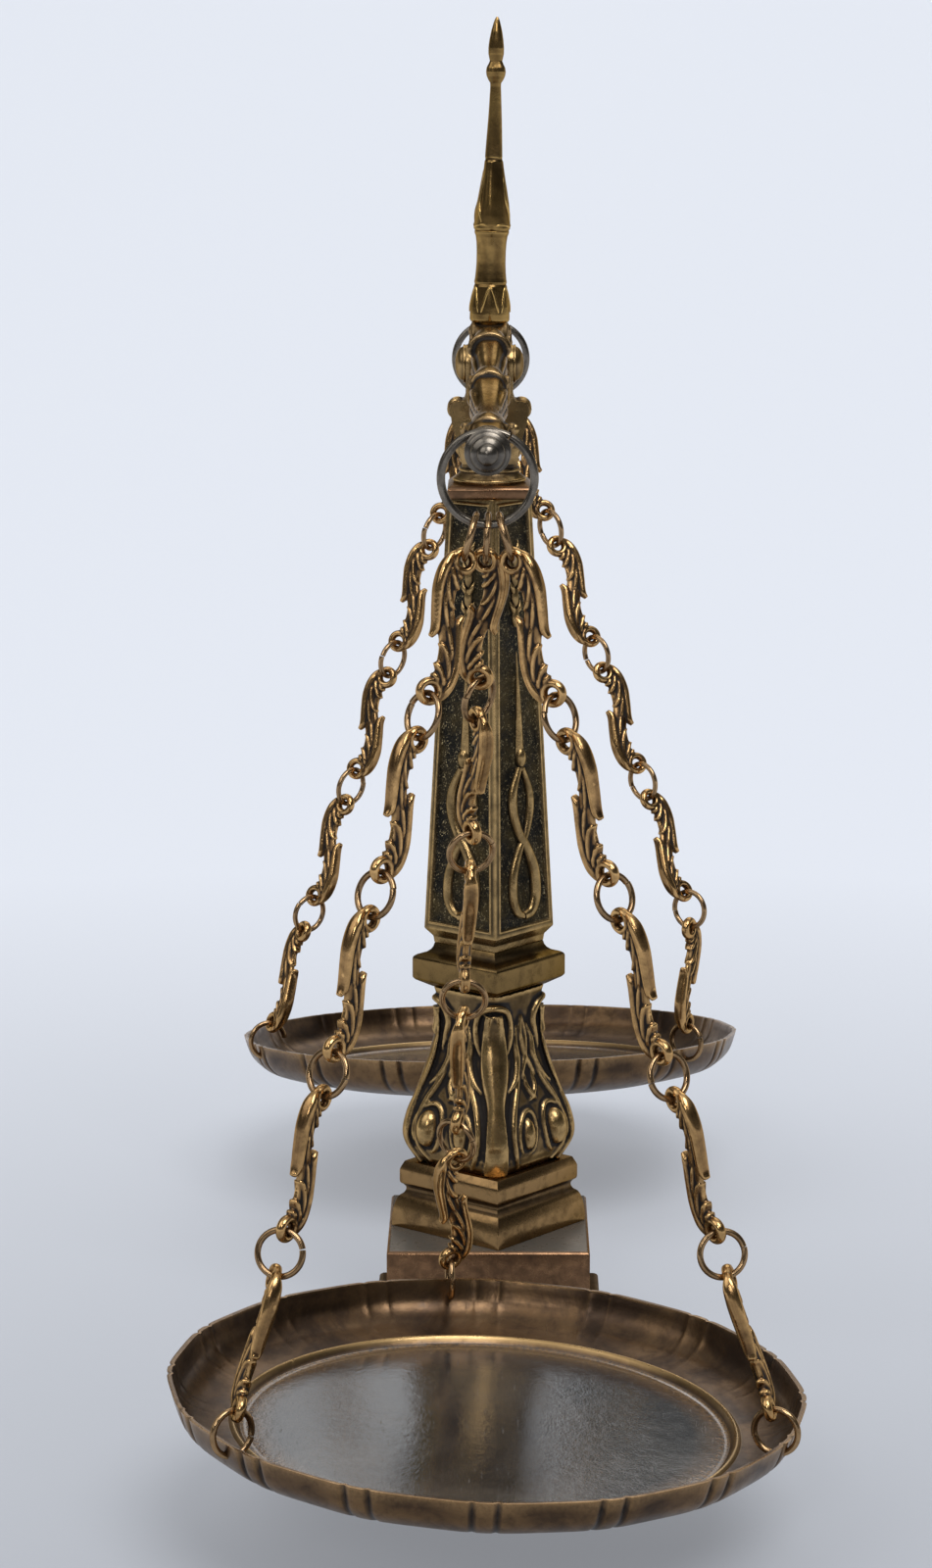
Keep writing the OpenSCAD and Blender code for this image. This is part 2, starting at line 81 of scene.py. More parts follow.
# Heights of the joints between the stacked pieces, read off the frame
PLINTH_Z = high("plinth_block")
MOULDING_Z = high("foot_moulding")
VASE_Z = high("baluster")
COLLAR_Z = high("collar")
SHAFT_Z = high("column_shaft")
CAP_Z = high("cap_plate")
PIVOT_Z = middle("pivot_pin").z
KNOB_Z = middle("near_knob").z
ARM = middle("near_stirrup").x
ARM_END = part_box("near_knob")[0].x / MM


class BalanceSizes(bpy.types.PropertyGroup):
    """Sizes of the carved and spun brass."""

    column_turn: bpy.props.FloatProperty(
        name="Column turn", description="Turn past the diagonal", default=radians(5.9), subtype="ANGLE"
    )
    edge: bpy.props.FloatProperty(
        name="Edge", description="Rounding of the cast edges", default=0.3 * MM, unit="LENGTH"
    )
    panel_margin: bpy.props.FloatProperty(
        name="Panel margin", description="Border round the sunk panels", default=1.5 * MM, unit="LENGTH"
    )
    groove_pairs: bpy.props.IntProperty(name="Groove pairs", description="Pairs round a pan", default=16)
    link_voxel: bpy.props.FloatProperty(
        name="Link grain", description="Fineness of the cast links", default=0.34 * MM, unit="LENGTH"
    )


class BalanceColours(bpy.types.PropertyGroup):
    """Colours of the brass, from rubbed to grimy; the darkest also stands for the shade painted into the recesses.
    """

    rubbed: bpy.props.FloatVectorProperty(
        name="Rubbed brass", description="High parts", size=4, subtype="COLOR", default=(0.58, 0.38, 0.16, 1)
    )
    aged: bpy.props.FloatVectorProperty(
        name="Aged brass", description="Open faces", size=4, subtype="COLOR", default=(0.165, 0.108, 0.052, 1)
    )
    # Grime and painted shade: the colour that the recesses are darkened to
    grime_and_shade: bpy.props.FloatVectorProperty(
        name="Grime", description="Recesses", size=4, subtype="COLOR", default=(0.014, 0.012, 0.012, 1)
    )
    floor: bpy.props.FloatVectorProperty(
        name="Floor", description="Floor and backdrop", size=4, subtype="COLOR", default=(0.79, 0.825, 0.9, 1)
    )


def sizes():
    return bpy.context.scene.balance_sizes


def colours():
    return bpy.context.scene.balance_colours


# Modelling helpers


def only(*objects):
    """Back to object mode with nothing but these objects selected."""
    if bpy.context.mode != "OBJECT":
        bpy.ops.object.mode_set(mode="OBJECT")
    bpy.ops.object.select_all(action="DESELECT")
    for o in objects:
        o.select_set(True)
        bpy.context.view_layer.objects.active = o


def named(name):
    """The object that an operator has just added, with its place moved into its mesh."""
    o = bpy.context.object
    o.name = o.data.name = name
    bpy.ops.object.transform_apply(location=True, rotation=True, scale=True)
    return o


def points_of(o):
    """The mesh's points, in millimetres, one to a row."""
    co = np.empty(len(o.data.vertices) * 3)
    o.data.vertices.foreach_get("co", co)
    return co.reshape(-1, 3) / MM


def move_points(o, co):
    o.data.vertices.foreach_set("co", (np.asarray(co) * MM).astype(np.float32).ravel())
    o.data.update()


def in_edit_mode(o):
    only(o)
    bpy.ops.object.mode_set(mode="EDIT")
    bpy.ops.mesh.select_all(action="SELECT")


def placed(o, matrix):
    """Turn and move the mesh; the matrix works in millimetres."""
    m = matrix.copy()
    m.translation = m.translation * MM
    o.data.transform(m)
    return o


def modified(o, kind, **settings):
    """Add a modifier and apply it."""
    only(o)
    bpy.ops.object.modifier_add(type=kind)
    modifier = o.modifiers[-1]
    for key, value in settings.items():
        setattr(modifier, key, value)
    bpy.ops.object.modifier_apply(modifier=modifier.name)
    return o


def bevelled(o, width=None, angle=28):
    """Round the edges that turn by more than angle degrees."""
    width = sizes().edge if width is None else width * MM
    return modified(o, "BEVEL", width=width, segments=2, limit_method="ANGLE", angle_limit=radians(angle))


def stacked(name, corners, rows, turn=0.0):
    """A solid raised from a flat polygon, extruded and resized through rows of (radius, height)."""
    only()
    r, z = rows[0]
    bpy.ops.mesh.primitive_circle_add(
        vertices=corners, radius=r * MM, fill_type="NGON", location=(0, 0, z * MM), rotation=(0, 0, turn),
    )
    o = named(name)
    in_edit_mode(o)
    for (r0, z0), (r1, z1) in zip(rows, rows[1:]):
        bpy.ops.mesh.extrude_region_move(TRANSFORM_OT_translate={"value": (0, 0, (z1 - z0) * MM)})
        bpy.ops.transform.resize(value=(r1 / r0, r1 / r0, 1), center_override=(0, 0, z1 * MM))
    bpy.ops.mesh.select_all(action="SELECT")
    bpy.ops.mesh.normals_make_consistent(inside=False)
    only(o)
    return o


def rolled(name, around, along, place):
    """A closed tube or dish: a grid rolled up by place(u, v), with u round it and v along it, both 0 to 1."""
    only()
    bpy.ops.mesh.primitive_grid_add(x_subdivisions=around, y_subdivisions=along, size=2)
    o = named(name)
    grid = points_of(o) * MM / 2 + 0.5
    move_points(o, place(grid[:, 0], grid[:, 1]))
    in_edit_mode(o)
    bpy.ops.mesh.remove_doubles(threshold=MERGE)
    bpy.ops.mesh.fill_holes(sides=0)
    bpy.ops.mesh.select_all(action="SELECT")
    bpy.ops.mesh.normals_make_consistent(inside=False)
    only(o)
    return o


def spline(points, count):
    """Points on a smooth curve through the given ones."""
    p = np.array(points, float)
    p = np.vstack([2 * p[0] - p[1], p, 2 * p[-1] - p[-2]])
    t = np.linspace(0, len(points) - 1, count)
    i = np.minimum(t.astype(int), len(points) - 2)
    f = (t - i)[:, None]
    a, b, c, d = p[i], p[i + 1], p[i + 2], p[i + 3]
    return 0.5 * (2 * b + (c - a) * f + (2 * a - 5 * b + 4 * c - d) * f**2 + (3 * b - a - 3 * c + d) * f**3)


def unit_rows(v):
    return v / np.maximum(np.linalg.norm(v, axis=1), 1e-9)[:, None]


def swept(name, points, halves, across=(0, 1, 0), around=14, along=40, square=2.0):
    """A tapered bar through points, with (half width, half depth) at each point. Its depth lies along across,
    which is one direction or one for each step of the bar. square is 2 for a round bar, more if squarish."""
    path = spline(points, along + 1)
    half = np.maximum(spline(halves, along + 1), 0)
    tangent = unit_rows(np.gradient(path, axis=0))
    deep = np.broadcast_to(np.array(across, float), path.shape)
    deep = unit_rows(deep - (deep * tangent).sum(1)[:, None] * tangent)
    side = np.cross(deep, tangent)

    def place(u, v):
        k = np.rint(v * along).astype(int)
        c, s = np.cos(2 * pi * u), np.sin(2 * pi * u)
        c = np.sign(c) * np.abs(c) ** (2 / square)
        s = np.sign(s) * np.abs(s) ** (2 / square)
        return path[k] + side[k] * (half[k, 0] * c)[:, None] + deep[k] * (half[k, 1] * s)[:, None]

    return rolled(name, around, along, place)


def tapered(count, middle, last=(0.3, 0.3)):
    """Half sizes for a bar through count points that is thin at both ends."""
    return [(0.3, 0.3)] + [middle] * (count - 2) + [last]


def dome(name, centre, radii, axes=Matrix.Identity(3)):
    """An oval boss; radii are along the columns of axes."""
    only()
    bpy.ops.mesh.primitive_uv_sphere_add(segments=20, ring_count=12, radius=MM)
    o = named(name)
    shape = (Matrix(axes).to_3x3() @ Matrix.Diagonal(radii)).to_4x4()
    return placed(o, Matrix.Translation(centre) @ shape)


def joined(name, parts):
    only(*parts)
    bpy.ops.object.join()
    o = bpy.context.object
    o.name = o.data.name = name
    return o


def fused(name, parts, voxel):
    """Parts cast into one skin."""
    o = modified(joined(name, parts), "REMESH", mode="VOXEL", voxel_size=voxel * MM, use_smooth_shade=True)
    return modified(o, "SMOOTH", factor=0.5, iterations=1)


def copied(node, name):
    """A merged copy of a construction node's mesh, with its flat faces whole again."""
    o = bpy.data.objects.new(name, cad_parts[node].data.copy())
    bpy.context.scene.collection.objects.link(o)
    in_edit_mode(o)
    bpy.ops.mesh.customdata_custom_splitnormals_clear()
    bpy.ops.mesh.remove_doubles(threshold=MERGE)
    bpy.ops.mesh.dissolve_limited(angle_limit=radians(0.6))
    bpy.ops.mesh.normals_make_consistent(inside=False)
    only(o)
    return o


def painted(o, name, values):
    """A number at each vertex, which a material reads."""
    attribute = o.data.attributes.new(name, "FLOAT", "POINT")
    attribute.data.foreach_set("value", np.asarray(values, np.float32))


def weathered(o, rounds=30, depth=0.22):
    """Paint how far each point stands proud of its smoothed surroundings, or lies sunk, from -1 to 1."""
    co = points_of(o)
    count = len(co)
    ends = np.empty(len(o.data.edges) * 2, np.int64)
    o.data.edges.foreach_get("vertices", ends)
    a, b = ends.reshape(-1, 2).T
    shares = (np.bincount(a, minlength=count) + np.bincount(b, minlength=count))[:, None]
    soft = co.copy()
    for _ in range(rounds):
        near = [np.bincount(a, soft[b, k], count) + np.bincount(b, soft[a, k], count) for k in range(3)]
        soft = (soft + np.stack(near, -1) / shares) / 2
    normals = np.empty(count * 3)
    o.data.vertices.foreach_get("normal", normals)
    painted(o, "cavity", np.clip(((co - soft) * normals.reshape(-1, 3)).sum(1) / depth, -1, 1))
    return o


def finished(o, body, nodes, material, angle=35):
    """Shade, paint and hang a piece on its body in place of its construction nodes."""
    only(o)
    bpy.ops.object.shade_smooth_by_angle(angle=radians(angle))
    o.data.materials.clear()
    o.data.materials.append(material())
    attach(o, body)
    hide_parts(*nodes)
    return o


# Materials


def put(tree, kind, inputs=None, **settings):
    """Add a node; an input is a constant or another node's output."""
    n = tree.nodes.new(kind)
    for key, value in settings.items():
        setattr(n, key, value)
    for key, value in (inputs or {}).items():
        if isinstance(value, bpy.types.NodeSocket):
            tree.links.new(value, n.inputs[key])
        else:
            n.inputs[key].default_value = value
    return n


def blend(tree, factor, a, b):
    """Mix two colours."""
    return put(tree, "ShaderNodeMix", {0: factor, 6: a, 7: b}, data_type="RGBA").outputs[2]


def between(tree, factor, a, b):
    """Mix two numbers."""
    return put(tree, "ShaderNodeMix", {0: factor, 2: a, 3: b}, data_type="FLOAT").outputs[0]


def maths(tree, operation, a, b=0.0, clamp=False):
    return put(tree, "ShaderNodeMath", {0: a, 1: b}, operation=operation, use_clamp=clamp).outputs[0]


def remap(tree, value, lo, hi, to_lo=0.0, to_hi=1.0):
    """Map lo..hi onto to_lo..to_hi, clamped at both ends."""
    return put(tree, "ShaderNodeMapRange", {0: value, 1: lo, 2: hi, 3: to_lo, 4: to_hi}).outputs[0]


def noise(tree, place, scale, detail=4.0, rough=0.55, warp=0.0):
    inputs = {"Vector": place, "Scale": scale, "Detail": detail, "Roughness": rough, "Distortion": warp}
    return put(tree, "ShaderNodeTexNoise", inputs).outputs["Fac"]


def object_place(tree):
    return put(tree, "ShaderNodeTexCoord").outputs["Object"]


def attribute(tree, name):
    return put(tree, "ShaderNodeAttribute", attribute_name=name, attribute_type="GEOMETRY").outputs["Fac"]


def node_group(name, inputs, outputs):
    """An empty shader node group and its input and output nodes."""
    group = bpy.data.node_groups.new(name, "ShaderNodeTree")
    for side, sockets in (("INPUT", inputs), ("OUTPUT", outputs)):
        for key, (kind, default) in sockets.items():
            socket = group.interface.new_socket(key, in_out=side, socket_type=kind)
            if default is not None:
                socket.default_value = default
    return group, group.nodes.new("NodeGroupInput").outputs, group.nodes.new("NodeGroupOutput").inputs


COLOUR, NUMBER = "NodeSocketColor", "NodeSocketFloat"


def aged_surface():
    """Node group: grime and painted shade in the recesses, blotches on the open surface and rubbed edges. The
    recesses are darkened where the ambient occlusion finds them sheltered and where points lie sunk.
    """
    if "aged surface" in bpy.data.node_groups:
        return bpy.data.node_groups["aged surface"]
    g, given, made = node_group(
        "aged surface",
        {
            "Rubbed": (COLOUR, (0.6, 0.4, 0.15, 1)),
            "Aged": (COLOUR, (0.3, 0.2, 0.08, 1)),
            "Grime": (COLOUR, (0.02, 0.02, 0.02, 1)),
            "Recess": (NUMBER, 1.0),
            "Wear": (NUMBER, 1.0),
            "Depth": (NUMBER, 0.005),
            "Gloss": (NUMBER, 0.3),
        },
        {
            "Color": (COLOUR, None),
            "Roughness": (NUMBER, None),
            "Metallic": (NUMBER, None),
            "Height": (NUMBER, None),
        },
    )
    place = object_place(g)
    blotch = noise(g, place, 38, 5, 0.6, 0.7)
    mottle = noise(g, place, 230, 5, 0.62, 0.3)
    grain = noise(g, place, 1300, 3)
    cavity = attribute(g, "cavity")
    # Painted shade and grime: ambient occlusion and sunk points darken the colour towards the darkest colour,
    # which stands for grime in the hollows and for the shade that falls there
    shelter = put(g, "ShaderNodeAmbientOcclusion", {"Distance": given["Depth"]}, samples=6, only_local=True)
    closed = maths(g, "ADD", remap(g, shelter.outputs["AO"], 0.93, 0.35), remap(g, cavity, -0.05, -0.75))
    closed = maths(g, "ADD", closed, remap(g, mottle, 0.3, 0.75, -0.24, 0.2))
    hollow_grime_and_shade = maths(g, "MULTIPLY", remap(g, closed, 0.12, 0.66), given["Recess"], clamp=True)
    pointed = put(g, "ShaderNodeNewGeometry").outputs["Pointiness"]
    proud = maths(g, "MAXIMUM", remap(g, pointed, 0.502, 0.56), remap(g, cavity, 0.12, 0.8))
    rub = maths(g, "MULTIPLY", proud, remap(g, mottle, 0.25, 0.68, 0.25, 1.1))
    rub = maths(g, "MULTIPLY", rub, given["Wear"], clamp=True)
    aged = blend(g, remap(g, blotch, 0.38, 0.72, 0, 0.45), given["Aged"], given["Rubbed"])
    dark_blotch = blend(g, 0.7, given["Aged"], given["Grime"])
    aged = blend(g, remap(g, blotch, 0.52, 0.3, 0, 0.75), aged, dark_blotch)
    aged = blend(g, remap(g, mottle, 0.52, 0.3, 0, 0.5), aged, dark_blotch)
    colour = blend(g, rub, aged, given["Rubbed"])
    colour = blend(g, hollow_grime_and_shade, colour, given["Grime"])
    rough = maths(g, "ADD", given["Gloss"], remap(g, mottle, 0.3, 0.7, 0.06, -0.06))
    rough = maths(g, "SUBTRACT", rough, maths(g, "MULTIPLY", rub, 0.08))
    rough = maths(g, "ADD", rough, maths(g, "MULTIPLY", hollow_grime_and_shade, 0.3), clamp=True)
    g.links.new(colour, made["Color"])
    g.links.new(rough, made["Roughness"])
    g.links.new(remap(g, hollow_grime_and_shade, 0, 1, 0.95, 0.2), made["Metallic"])
    height = maths(g, "ADD", maths(g, "MULTIPLY", mottle, 0.7), maths(g, "MULTIPLY", grain, 0.3))
    g.links.new(height, made["Height"])
    return g


def new_material(name):
    m = bpy.data.materials.new(name)
    m.use_nodes = True
    m.node_tree.nodes.clear()
    return m


def finish_named(name):
    """Decorator: makes a material of this name once, with nodes from the function that it decorates."""

    def decorate(fill):
        def make():
            if name not in bpy.data.materials:
                fill(new_material(name).node_tree)
            return bpy.data.materials[name]

        return make

    return decorate


def worn(tree, **values):
    """Outputs of the aged surface, with these inputs."""
    return put(tree, "ShaderNodeGroup", values, node_tree=aged_surface()).outputs


def shade(tree, colour, rough, metallic, height, bump, **constants):
    """The surface shader, with its bump."""
    normal = put(tree, "ShaderNodeBump", {"Height": height, "Distance": bump}).outputs[0]
    inputs = {"Base Color": colour, "Roughness": rough, "Metallic": metallic, "Normal": normal}
    surface = put(tree, "ShaderNodeBsdfPrincipled", inputs)
    for key, value in constants.items():
        surface.inputs[key.replace("_", " ")].default_value = value
    return surface.outputs[0], put(tree, "ShaderNodeOutputMaterial", {"Surface": surface.outputs[0]})


# Tarnish keeps the metal from turning white where it is seen at a glancing angle
EDGE_TINT = (0.55, 0.46, 0.36, 1)


def brass(
    name, rubbed=None, aged=None, grime_and_shade=None, recess=1.0, wear=1.0, depth=0.005, gloss=0.3, bump=0.00007,
    painted_sky_top=None,
):
    """A maker for one brass finish. Given a grey for the top, faces that look up are painted that grey as a
    painted reflection of the sky above, and lose about half their metal.
    """

    @finish_named(name)
    def make(t):
        out = worn(
            t, Rubbed=rubbed or colours().rubbed, Aged=aged or colours().aged, Grime=grime_and_shade or colours().grime_and_shade,
            Recess=recess, Wear=wear, Depth=depth, Gloss=gloss,
        )
        colour, metallic = out["Color"], out["Metallic"]
        if painted_sky_top:
            # Painted reflection: faces that look up are blended to the given grey, standing for the sky seen in
            # them
            normal = put(t, "ShaderNodeNewGeometry").outputs["Normal"]
            painted_sky_share = remap(t, put(t, "ShaderNodeSeparateXYZ", {0: normal}).outputs["Z"], 0.8, 0.97, 0, 0.75)
            colour = blend(t, painted_sky_share, colour, painted_sky_top)
            metallic = maths(t, "SUBTRACT", metallic, maths(t, "MULTIPLY", painted_sky_share, 0.7), clamp=True)
        shade(t, colour, out["Roughness"], metallic, out["Height"], bump, Specular_Tint=EDGE_TINT)

    return make


ANTIQUE = brass("worn_antique_brass")
LINK = brass("worn_link_brass", (0.72, 0.44, 0.18, 1), (0.17, 0.092, 0.042, 1), depth=0.003, gloss=0.24)
RING = brass("worn_ring_brass", (0.5, 0.32, 0.16, 1), (0.2, 0.125, 0.07, 1), recess=0.5, gloss=0.27)
GREY = brass("worn_grey_brass", (0.27, 0.235, 0.19, 1), (0.115, 0.103, 0.09, 1), wear=0.8, gloss=0.3)
# The plinth's top is painted grey, a painted reflection of the sky.
PLINTH = brass(
    "worn_plinth_brass", (0.3, 0.165, 0.085, 1), (0.078, 0.049, 0.033, 1), recess=0.8, gloss=0.34,
    painted_sky_top=(0.15, 0.15, 0.135, 1),
)
CAP = brass("worn_cap_brass", (0.3, 0.165, 0.085, 1), (0.078, 0.049, 0.033, 1), recess=0.8, gloss=0.34)
COLLAR = brass("worn_collar_brass", (0.23, 0.145, 0.055, 1), (0.041, 0.027, 0.014, 1), wear=1.3, gloss=0.3)
BEAM = brass("worn_beam_brass", (0.4, 0.26, 0.12, 1), (0.075, 0.048, 0.026, 1), wear=0.9, gloss=0.3)
POINTER = brass("worn_pointer_brass", (0.68, 0.44, 0.15, 1), (0.23, 0.135, 0.045, 1), wear=1.2, gloss=0.24)
MOULDING = brass("worn_moulding_brass", (0.33, 0.2, 0.085, 1), (0.062, 0.039, 0.021, 1), wear=1.4, gloss=0.3)
BRONZE = brass("worn_dark_bronze", (0.15, 0.09, 0.05, 1), (0.05, 0.034, 0.025, 1), gloss=0.4)


@finish_named("worn_stippled_brass")
def stippled(t):
    """Brass whose sunk ground is punched all over and black, with small bright specks painted on it as the glints
    of the punch marks.
    """
    out = worn(t, Rubbed=colours().rubbed, Aged=(0.105, 0.076, 0.038, 1), Grime=colours().grime_and_shade, Depth=0.004)
    place = object_place(t)
    ground = attribute(t, "ground")
    cells = put(t, "ShaderNodeTexVoronoi", {"Vector": place, "Scale": 1500.0}).outputs["Distance"]
    patch = noise(t, place, 90, 4, 0.6)
    # Painted glints: small pale specks over the punched ground, where the punch marks would catch the light
    painted_glint = maths(t, "MULTIPLY", remap(t, cells, 0.4, 0.2), remap(t, noise(t, place, 500, 3), 0.46, 0.6))
    black = blend(t, remap(t, patch, 0.42, 0.66), (0.016, 0.016, 0.014, 1), (0.075, 0.055, 0.024, 1))
    black = blend(t, painted_glint, black, (0.5, 0.4, 0.22, 1))
    colour = blend(t, ground, out["Color"], black)
    rough = maths(t, "ADD", out["Roughness"], maths(t, "MULTIPLY", ground, 0.06))
    metallic = maths(t, "SUBTRACT", out["Metallic"], maths(t, "MULTIPLY", ground, 0.35))
    height = maths(t, "ADD", out["Height"], maths(t, "MULTIPLY", ground, maths(t, "MULTIPLY", cells, -2.4)))
    shade(t, colour, rough, metallic, height, 0.00016, Specular_Tint=EDGE_TINT)


@finish_named("worn_pan_brass")
def pan_metal(t):
    """Brown wall, rubbed rim, golden bead, and a worn grey floor with scratches and dust."""
    place = object_place(t)
    out = worn(
        t, Rubbed=(0.34, 0.2, 0.085, 1), Aged=(0.088, 0.052, 0.03, 1), Grime=(0.022, 0.016, 0.013, 1),
        Depth=0.004, Gloss=0.34,
    )
    radius, inner, groove = (attribute(t, key) for key in ("pan_radius", "pan_inner", "pan_groove"))
    blotch = noise(t, place, 26, 6, 0.62, 0.8)
    speckle = noise(t, place, 700, 4, 0.7)
    drawn = {"Vector": place, "Rotation": (0, 0, 0.6), "Scale": (1, 22, 1)}
    streak = put(t, "ShaderNodeMapping", drawn).outputs[0]
    scratch = remap(t, noise(t, streak, 60, 5, 0.7), 0.66, 0.72)
    grey = blend(t, remap(t, blotch, 0.36, 0.64), (0.028, 0.026, 0.025, 1), (0.06, 0.052, 0.045, 1))
    grey = blend(t, maths(t, "MULTIPLY", scratch, 0.25), grey, (0.2, 0.19, 0.17, 1))
    grey = blend(t, remap(t, speckle, 0.62, 0.72, 0, 0.4), grey, (0.2, 0.17, 0.13, 1))
    tan = maths(t, "MULTIPLY", remap(t, radius, 0.655, 0.765), remap(t, speckle, 0.3, 0.6))
    grey = blend(t, tan, grey, (0.2, 0.115, 0.05, 1))
    floor = maths(t, "MULTIPLY", inner, remap(t, radius, 0.775, 0.765))
    colour = blend(t, floor, out["Color"], grey)
    from_bead = maths(t, "ABSOLUTE", maths(t, "SUBTRACT", radius, BEAD_R / PAN_R))
    bead = maths(t, "MULTIPLY", inner, remap(t, from_bead, 0.016, 0.006))
    colour = blend(t, maths(t, "MULTIPLY", bead, 0.6), colour, (0.6, 0.4, 0.17, 1))
    colour = blend(t, maths(t, "MULTIPLY", groove, 0.9), colour, (0.018, 0.014, 0.012, 1))
    lip = remap(t, radius, 0.982, 0.998, 0, 0.75)
    lip = maths(t, "MULTIPLY", lip, remap(t, speckle, 0.35, 0.6, 0.4, 1))
    colour = blend(t, lip, colour, (0.42, 0.26, 0.12, 1))
    rough = between(t, floor, out["Roughness"], remap(t, blotch, 0.35, 0.65, 0.07, 0.13))
    metallic = between(t, floor, out["Metallic"], 0.0)
    height = maths(t, "ADD", out["Height"], maths(t, "MULTIPLY", scratch, -0.4))
    shade(t, colour, rough, metallic, height, 0.0001, IOR=2.0)


@finish_named("drawn_steel")
def steel(t):
    """Bright steel with drawn lines along Z."""
    stretched = put(t, "ShaderNodeMapping", {"Vector": object_place(t), "Scale": (1, 1, 0.04)}).outputs[0]
    lines = noise(t, stretched, 1800, 3)
    colour = blend(t, lines, (0.28, 0.28, 0.27, 1), (0.5, 0.5, 0.48, 1))
    shade(t, colour, remap(t, lines, 0.3, 0.7, 0.28, 0.42), 1.0, lines, 0.00005)


@finish_named("pressed_felt")
def felt(t):
    """Dark green felt."""
    fibre = noise(t, object_place(t), 900, 6, 0.75, 1.5)
    colour = blend(t, fibre, (0.018, 0.045, 0.022, 1), (0.06, 0.12, 0.06, 1))
    shade(t, colour, 0.95, 0.0, fibre, 0.0006, Sheen_Weight=0.4, Sheen_Roughness=0.5)


# Foot and column

# Profiles of the two squares that turn with the column: (inset from the widest part, height above the foot)
MOULDING_STEPS = [
    (0, 0), (0, 2.6), (0.25, 5), (0.8, 7.4), (1.7, 9.8), (2.7, 11.2), (4.4, 12.1), (5.2, 13.2), (5.3, 14.2),
    (4.5, 15.2), (3.1, 15.9), (2.9, 17), (2.9, 20.8), (3.4, 21.8),
]
COLLAR_STEPS = [
    (7.2, 0), (1, 2.6), (0, 3.4), (0, 10.6), (0.5, 11.3), (1.6, 11.8), (5, 12.6), (6.6, 13.6), (7.4, 14.6),
]
ROD_HOLE_R = 4.3
CAST_WALL = 4


def upright(node, steps):
    """A square piece in line with the beam, from steps of (inset, height above its foot)."""
    a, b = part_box(node)
    half = (b.x - a.x) / 2 / MM
    rows = [((half - inset) * sqrt(2), low(node) + rise) for inset, rise in steps]
    return stacked(node + "_cast", 4, rows, radians(45))


def half_diagonal(node):
    """Half the diagonal of a square piece that is turned with the column."""
    return (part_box(node)[1].x / MM) / cos(sizes().column_turn)


def diamond(node, foot, steps, top):
    """A square piece turned with the column, from steps of (inset, height over foot) and a top (inset, height)."""
    r = half_diagonal(node)
    rows = [(r - inset, foot + rise) for inset, rise in steps] + [(r - top[0], top[1])]
    return stacked(node + "_cast", 4, rows, sizes().column_turn)


class BALANCE_OT_foot(bpy.types.Operator):
    """Step plate, plinth block and foot moulding"""

    bl_idname = "balance.foot"
    bl_label = "Foot"

    def execute(self, context):
        height = high("step_plate") - low("step_plate")
        step = upright("step_plate", [(0, 0), (0, height - 1.6), (0.35, height - 0.8), (1.6, height)])
        bore(step, ROD_HOLE_R, low("step_plate") - 2, high("step_plate") + 2)
        finished(bevelled(step), "stand", ["step_plate"], BRONZE)
        height = PLINTH_Z - low("plinth_block")
        block = upright("plinth_block", [(0, 0), (0, height - 0.9), (0.9, height)])
        hollowed(block, "plinth_block")
        finished(bevelled(block, 0.35), "stand", ["plinth_block"], PLINTH)
        moulding = diamond("foot_moulding", PLINTH_Z, MOULDING_STEPS, (4.8, MOULDING_Z))
        finished(bevelled(moulding, angle=20), "stand", ["foot_moulding"], MOULDING, 24)
        return {"FINISHED"}


def cut(o, tool):
    """Take a tool's shape out of a piece."""
    modified(o, "BOOLEAN", operation="DIFFERENCE", object=tool, solver="EXACT")
    bpy.data.objects.remove(tool)


def bore(o, radius, z0, z1):
    """A round hole on the column's axis."""
    only()
    bpy.ops.mesh.primitive_cylinder_add(
        vertices=32, radius=radius * MM, depth=(z1 - z0) * MM, location=(0, 0, (z0 + z1) / 2 * MM),
    )
    cut(o, named("bore_tool"))


def hollowed(o, node):
    """Open the piece from below, as its casting is."""
    a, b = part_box(node)
    wall = CAST_WALL * MM
    size = b.x - a.x - 2 * wall
    only()
    centre = (0, 0, (a.z + b.z) / 2 - wall)
    bpy.ops.mesh.primitive_cube_add(size=1, location=centre, scale=(size, size, b.z - a.z))
    cut(o, named("hollow_tool"))


# Half width of the baluster's faces, before VASE_SQUARE, and height above the foot moulding
VASE_ROWS = [
    (24, 0), (27.6, 2.6), (29.3, 6), (29.8, 9.8), (29.4, 14), (28.2, 19), (26.2, 24.5), (23.8, 30),
    (21.4, 36), (19.6, 42), (18.5, 48), (18.1, 53), (18.3, 57), (19, 61), (20, 64),
]
VASE_WIDTHS, VASE_RISES = zip(*VASE_ROWS)
VASE_TOP = VASE_RISES[-1]
VASE_SQUARE = 0.78
# Way round the baluster for each radian, as a share of its half width
VASE_GIRTH = 0.86


def vase_point(corner, s, rise, lift=0.0):
    """Point on the baluster: s is the distance round it from a corner line, rise is over the foot moulding."""
    r = np.interp(rise, VASE_RISES, VASE_WIDTHS)
    slope = (np.interp(rise + 1, VASE_RISES, VASE_WIDTHS) - np.interp(rise - 1, VASE_RISES, VASE_WIDTHS)) / 2
    turn = s / (VASE_GIRTH * r)
    face = turn - pi / 4
    flat = VASE_SQUARE * r * (np.abs(np.cos(face)) ** 6 + np.abs(np.sin(face)) ** 6) ** (-1 / 6)
    angle = sizes().column_turn + corner * pi / 2 + turn
    out = flat + lift / np.sqrt(1 + slope**2)
    up = MOULDING_Z + rise - lift * slope / np.sqrt(1 + slope**2)
    return np.stack([out * np.cos(angle), out * np.sin(angle), up], -1)


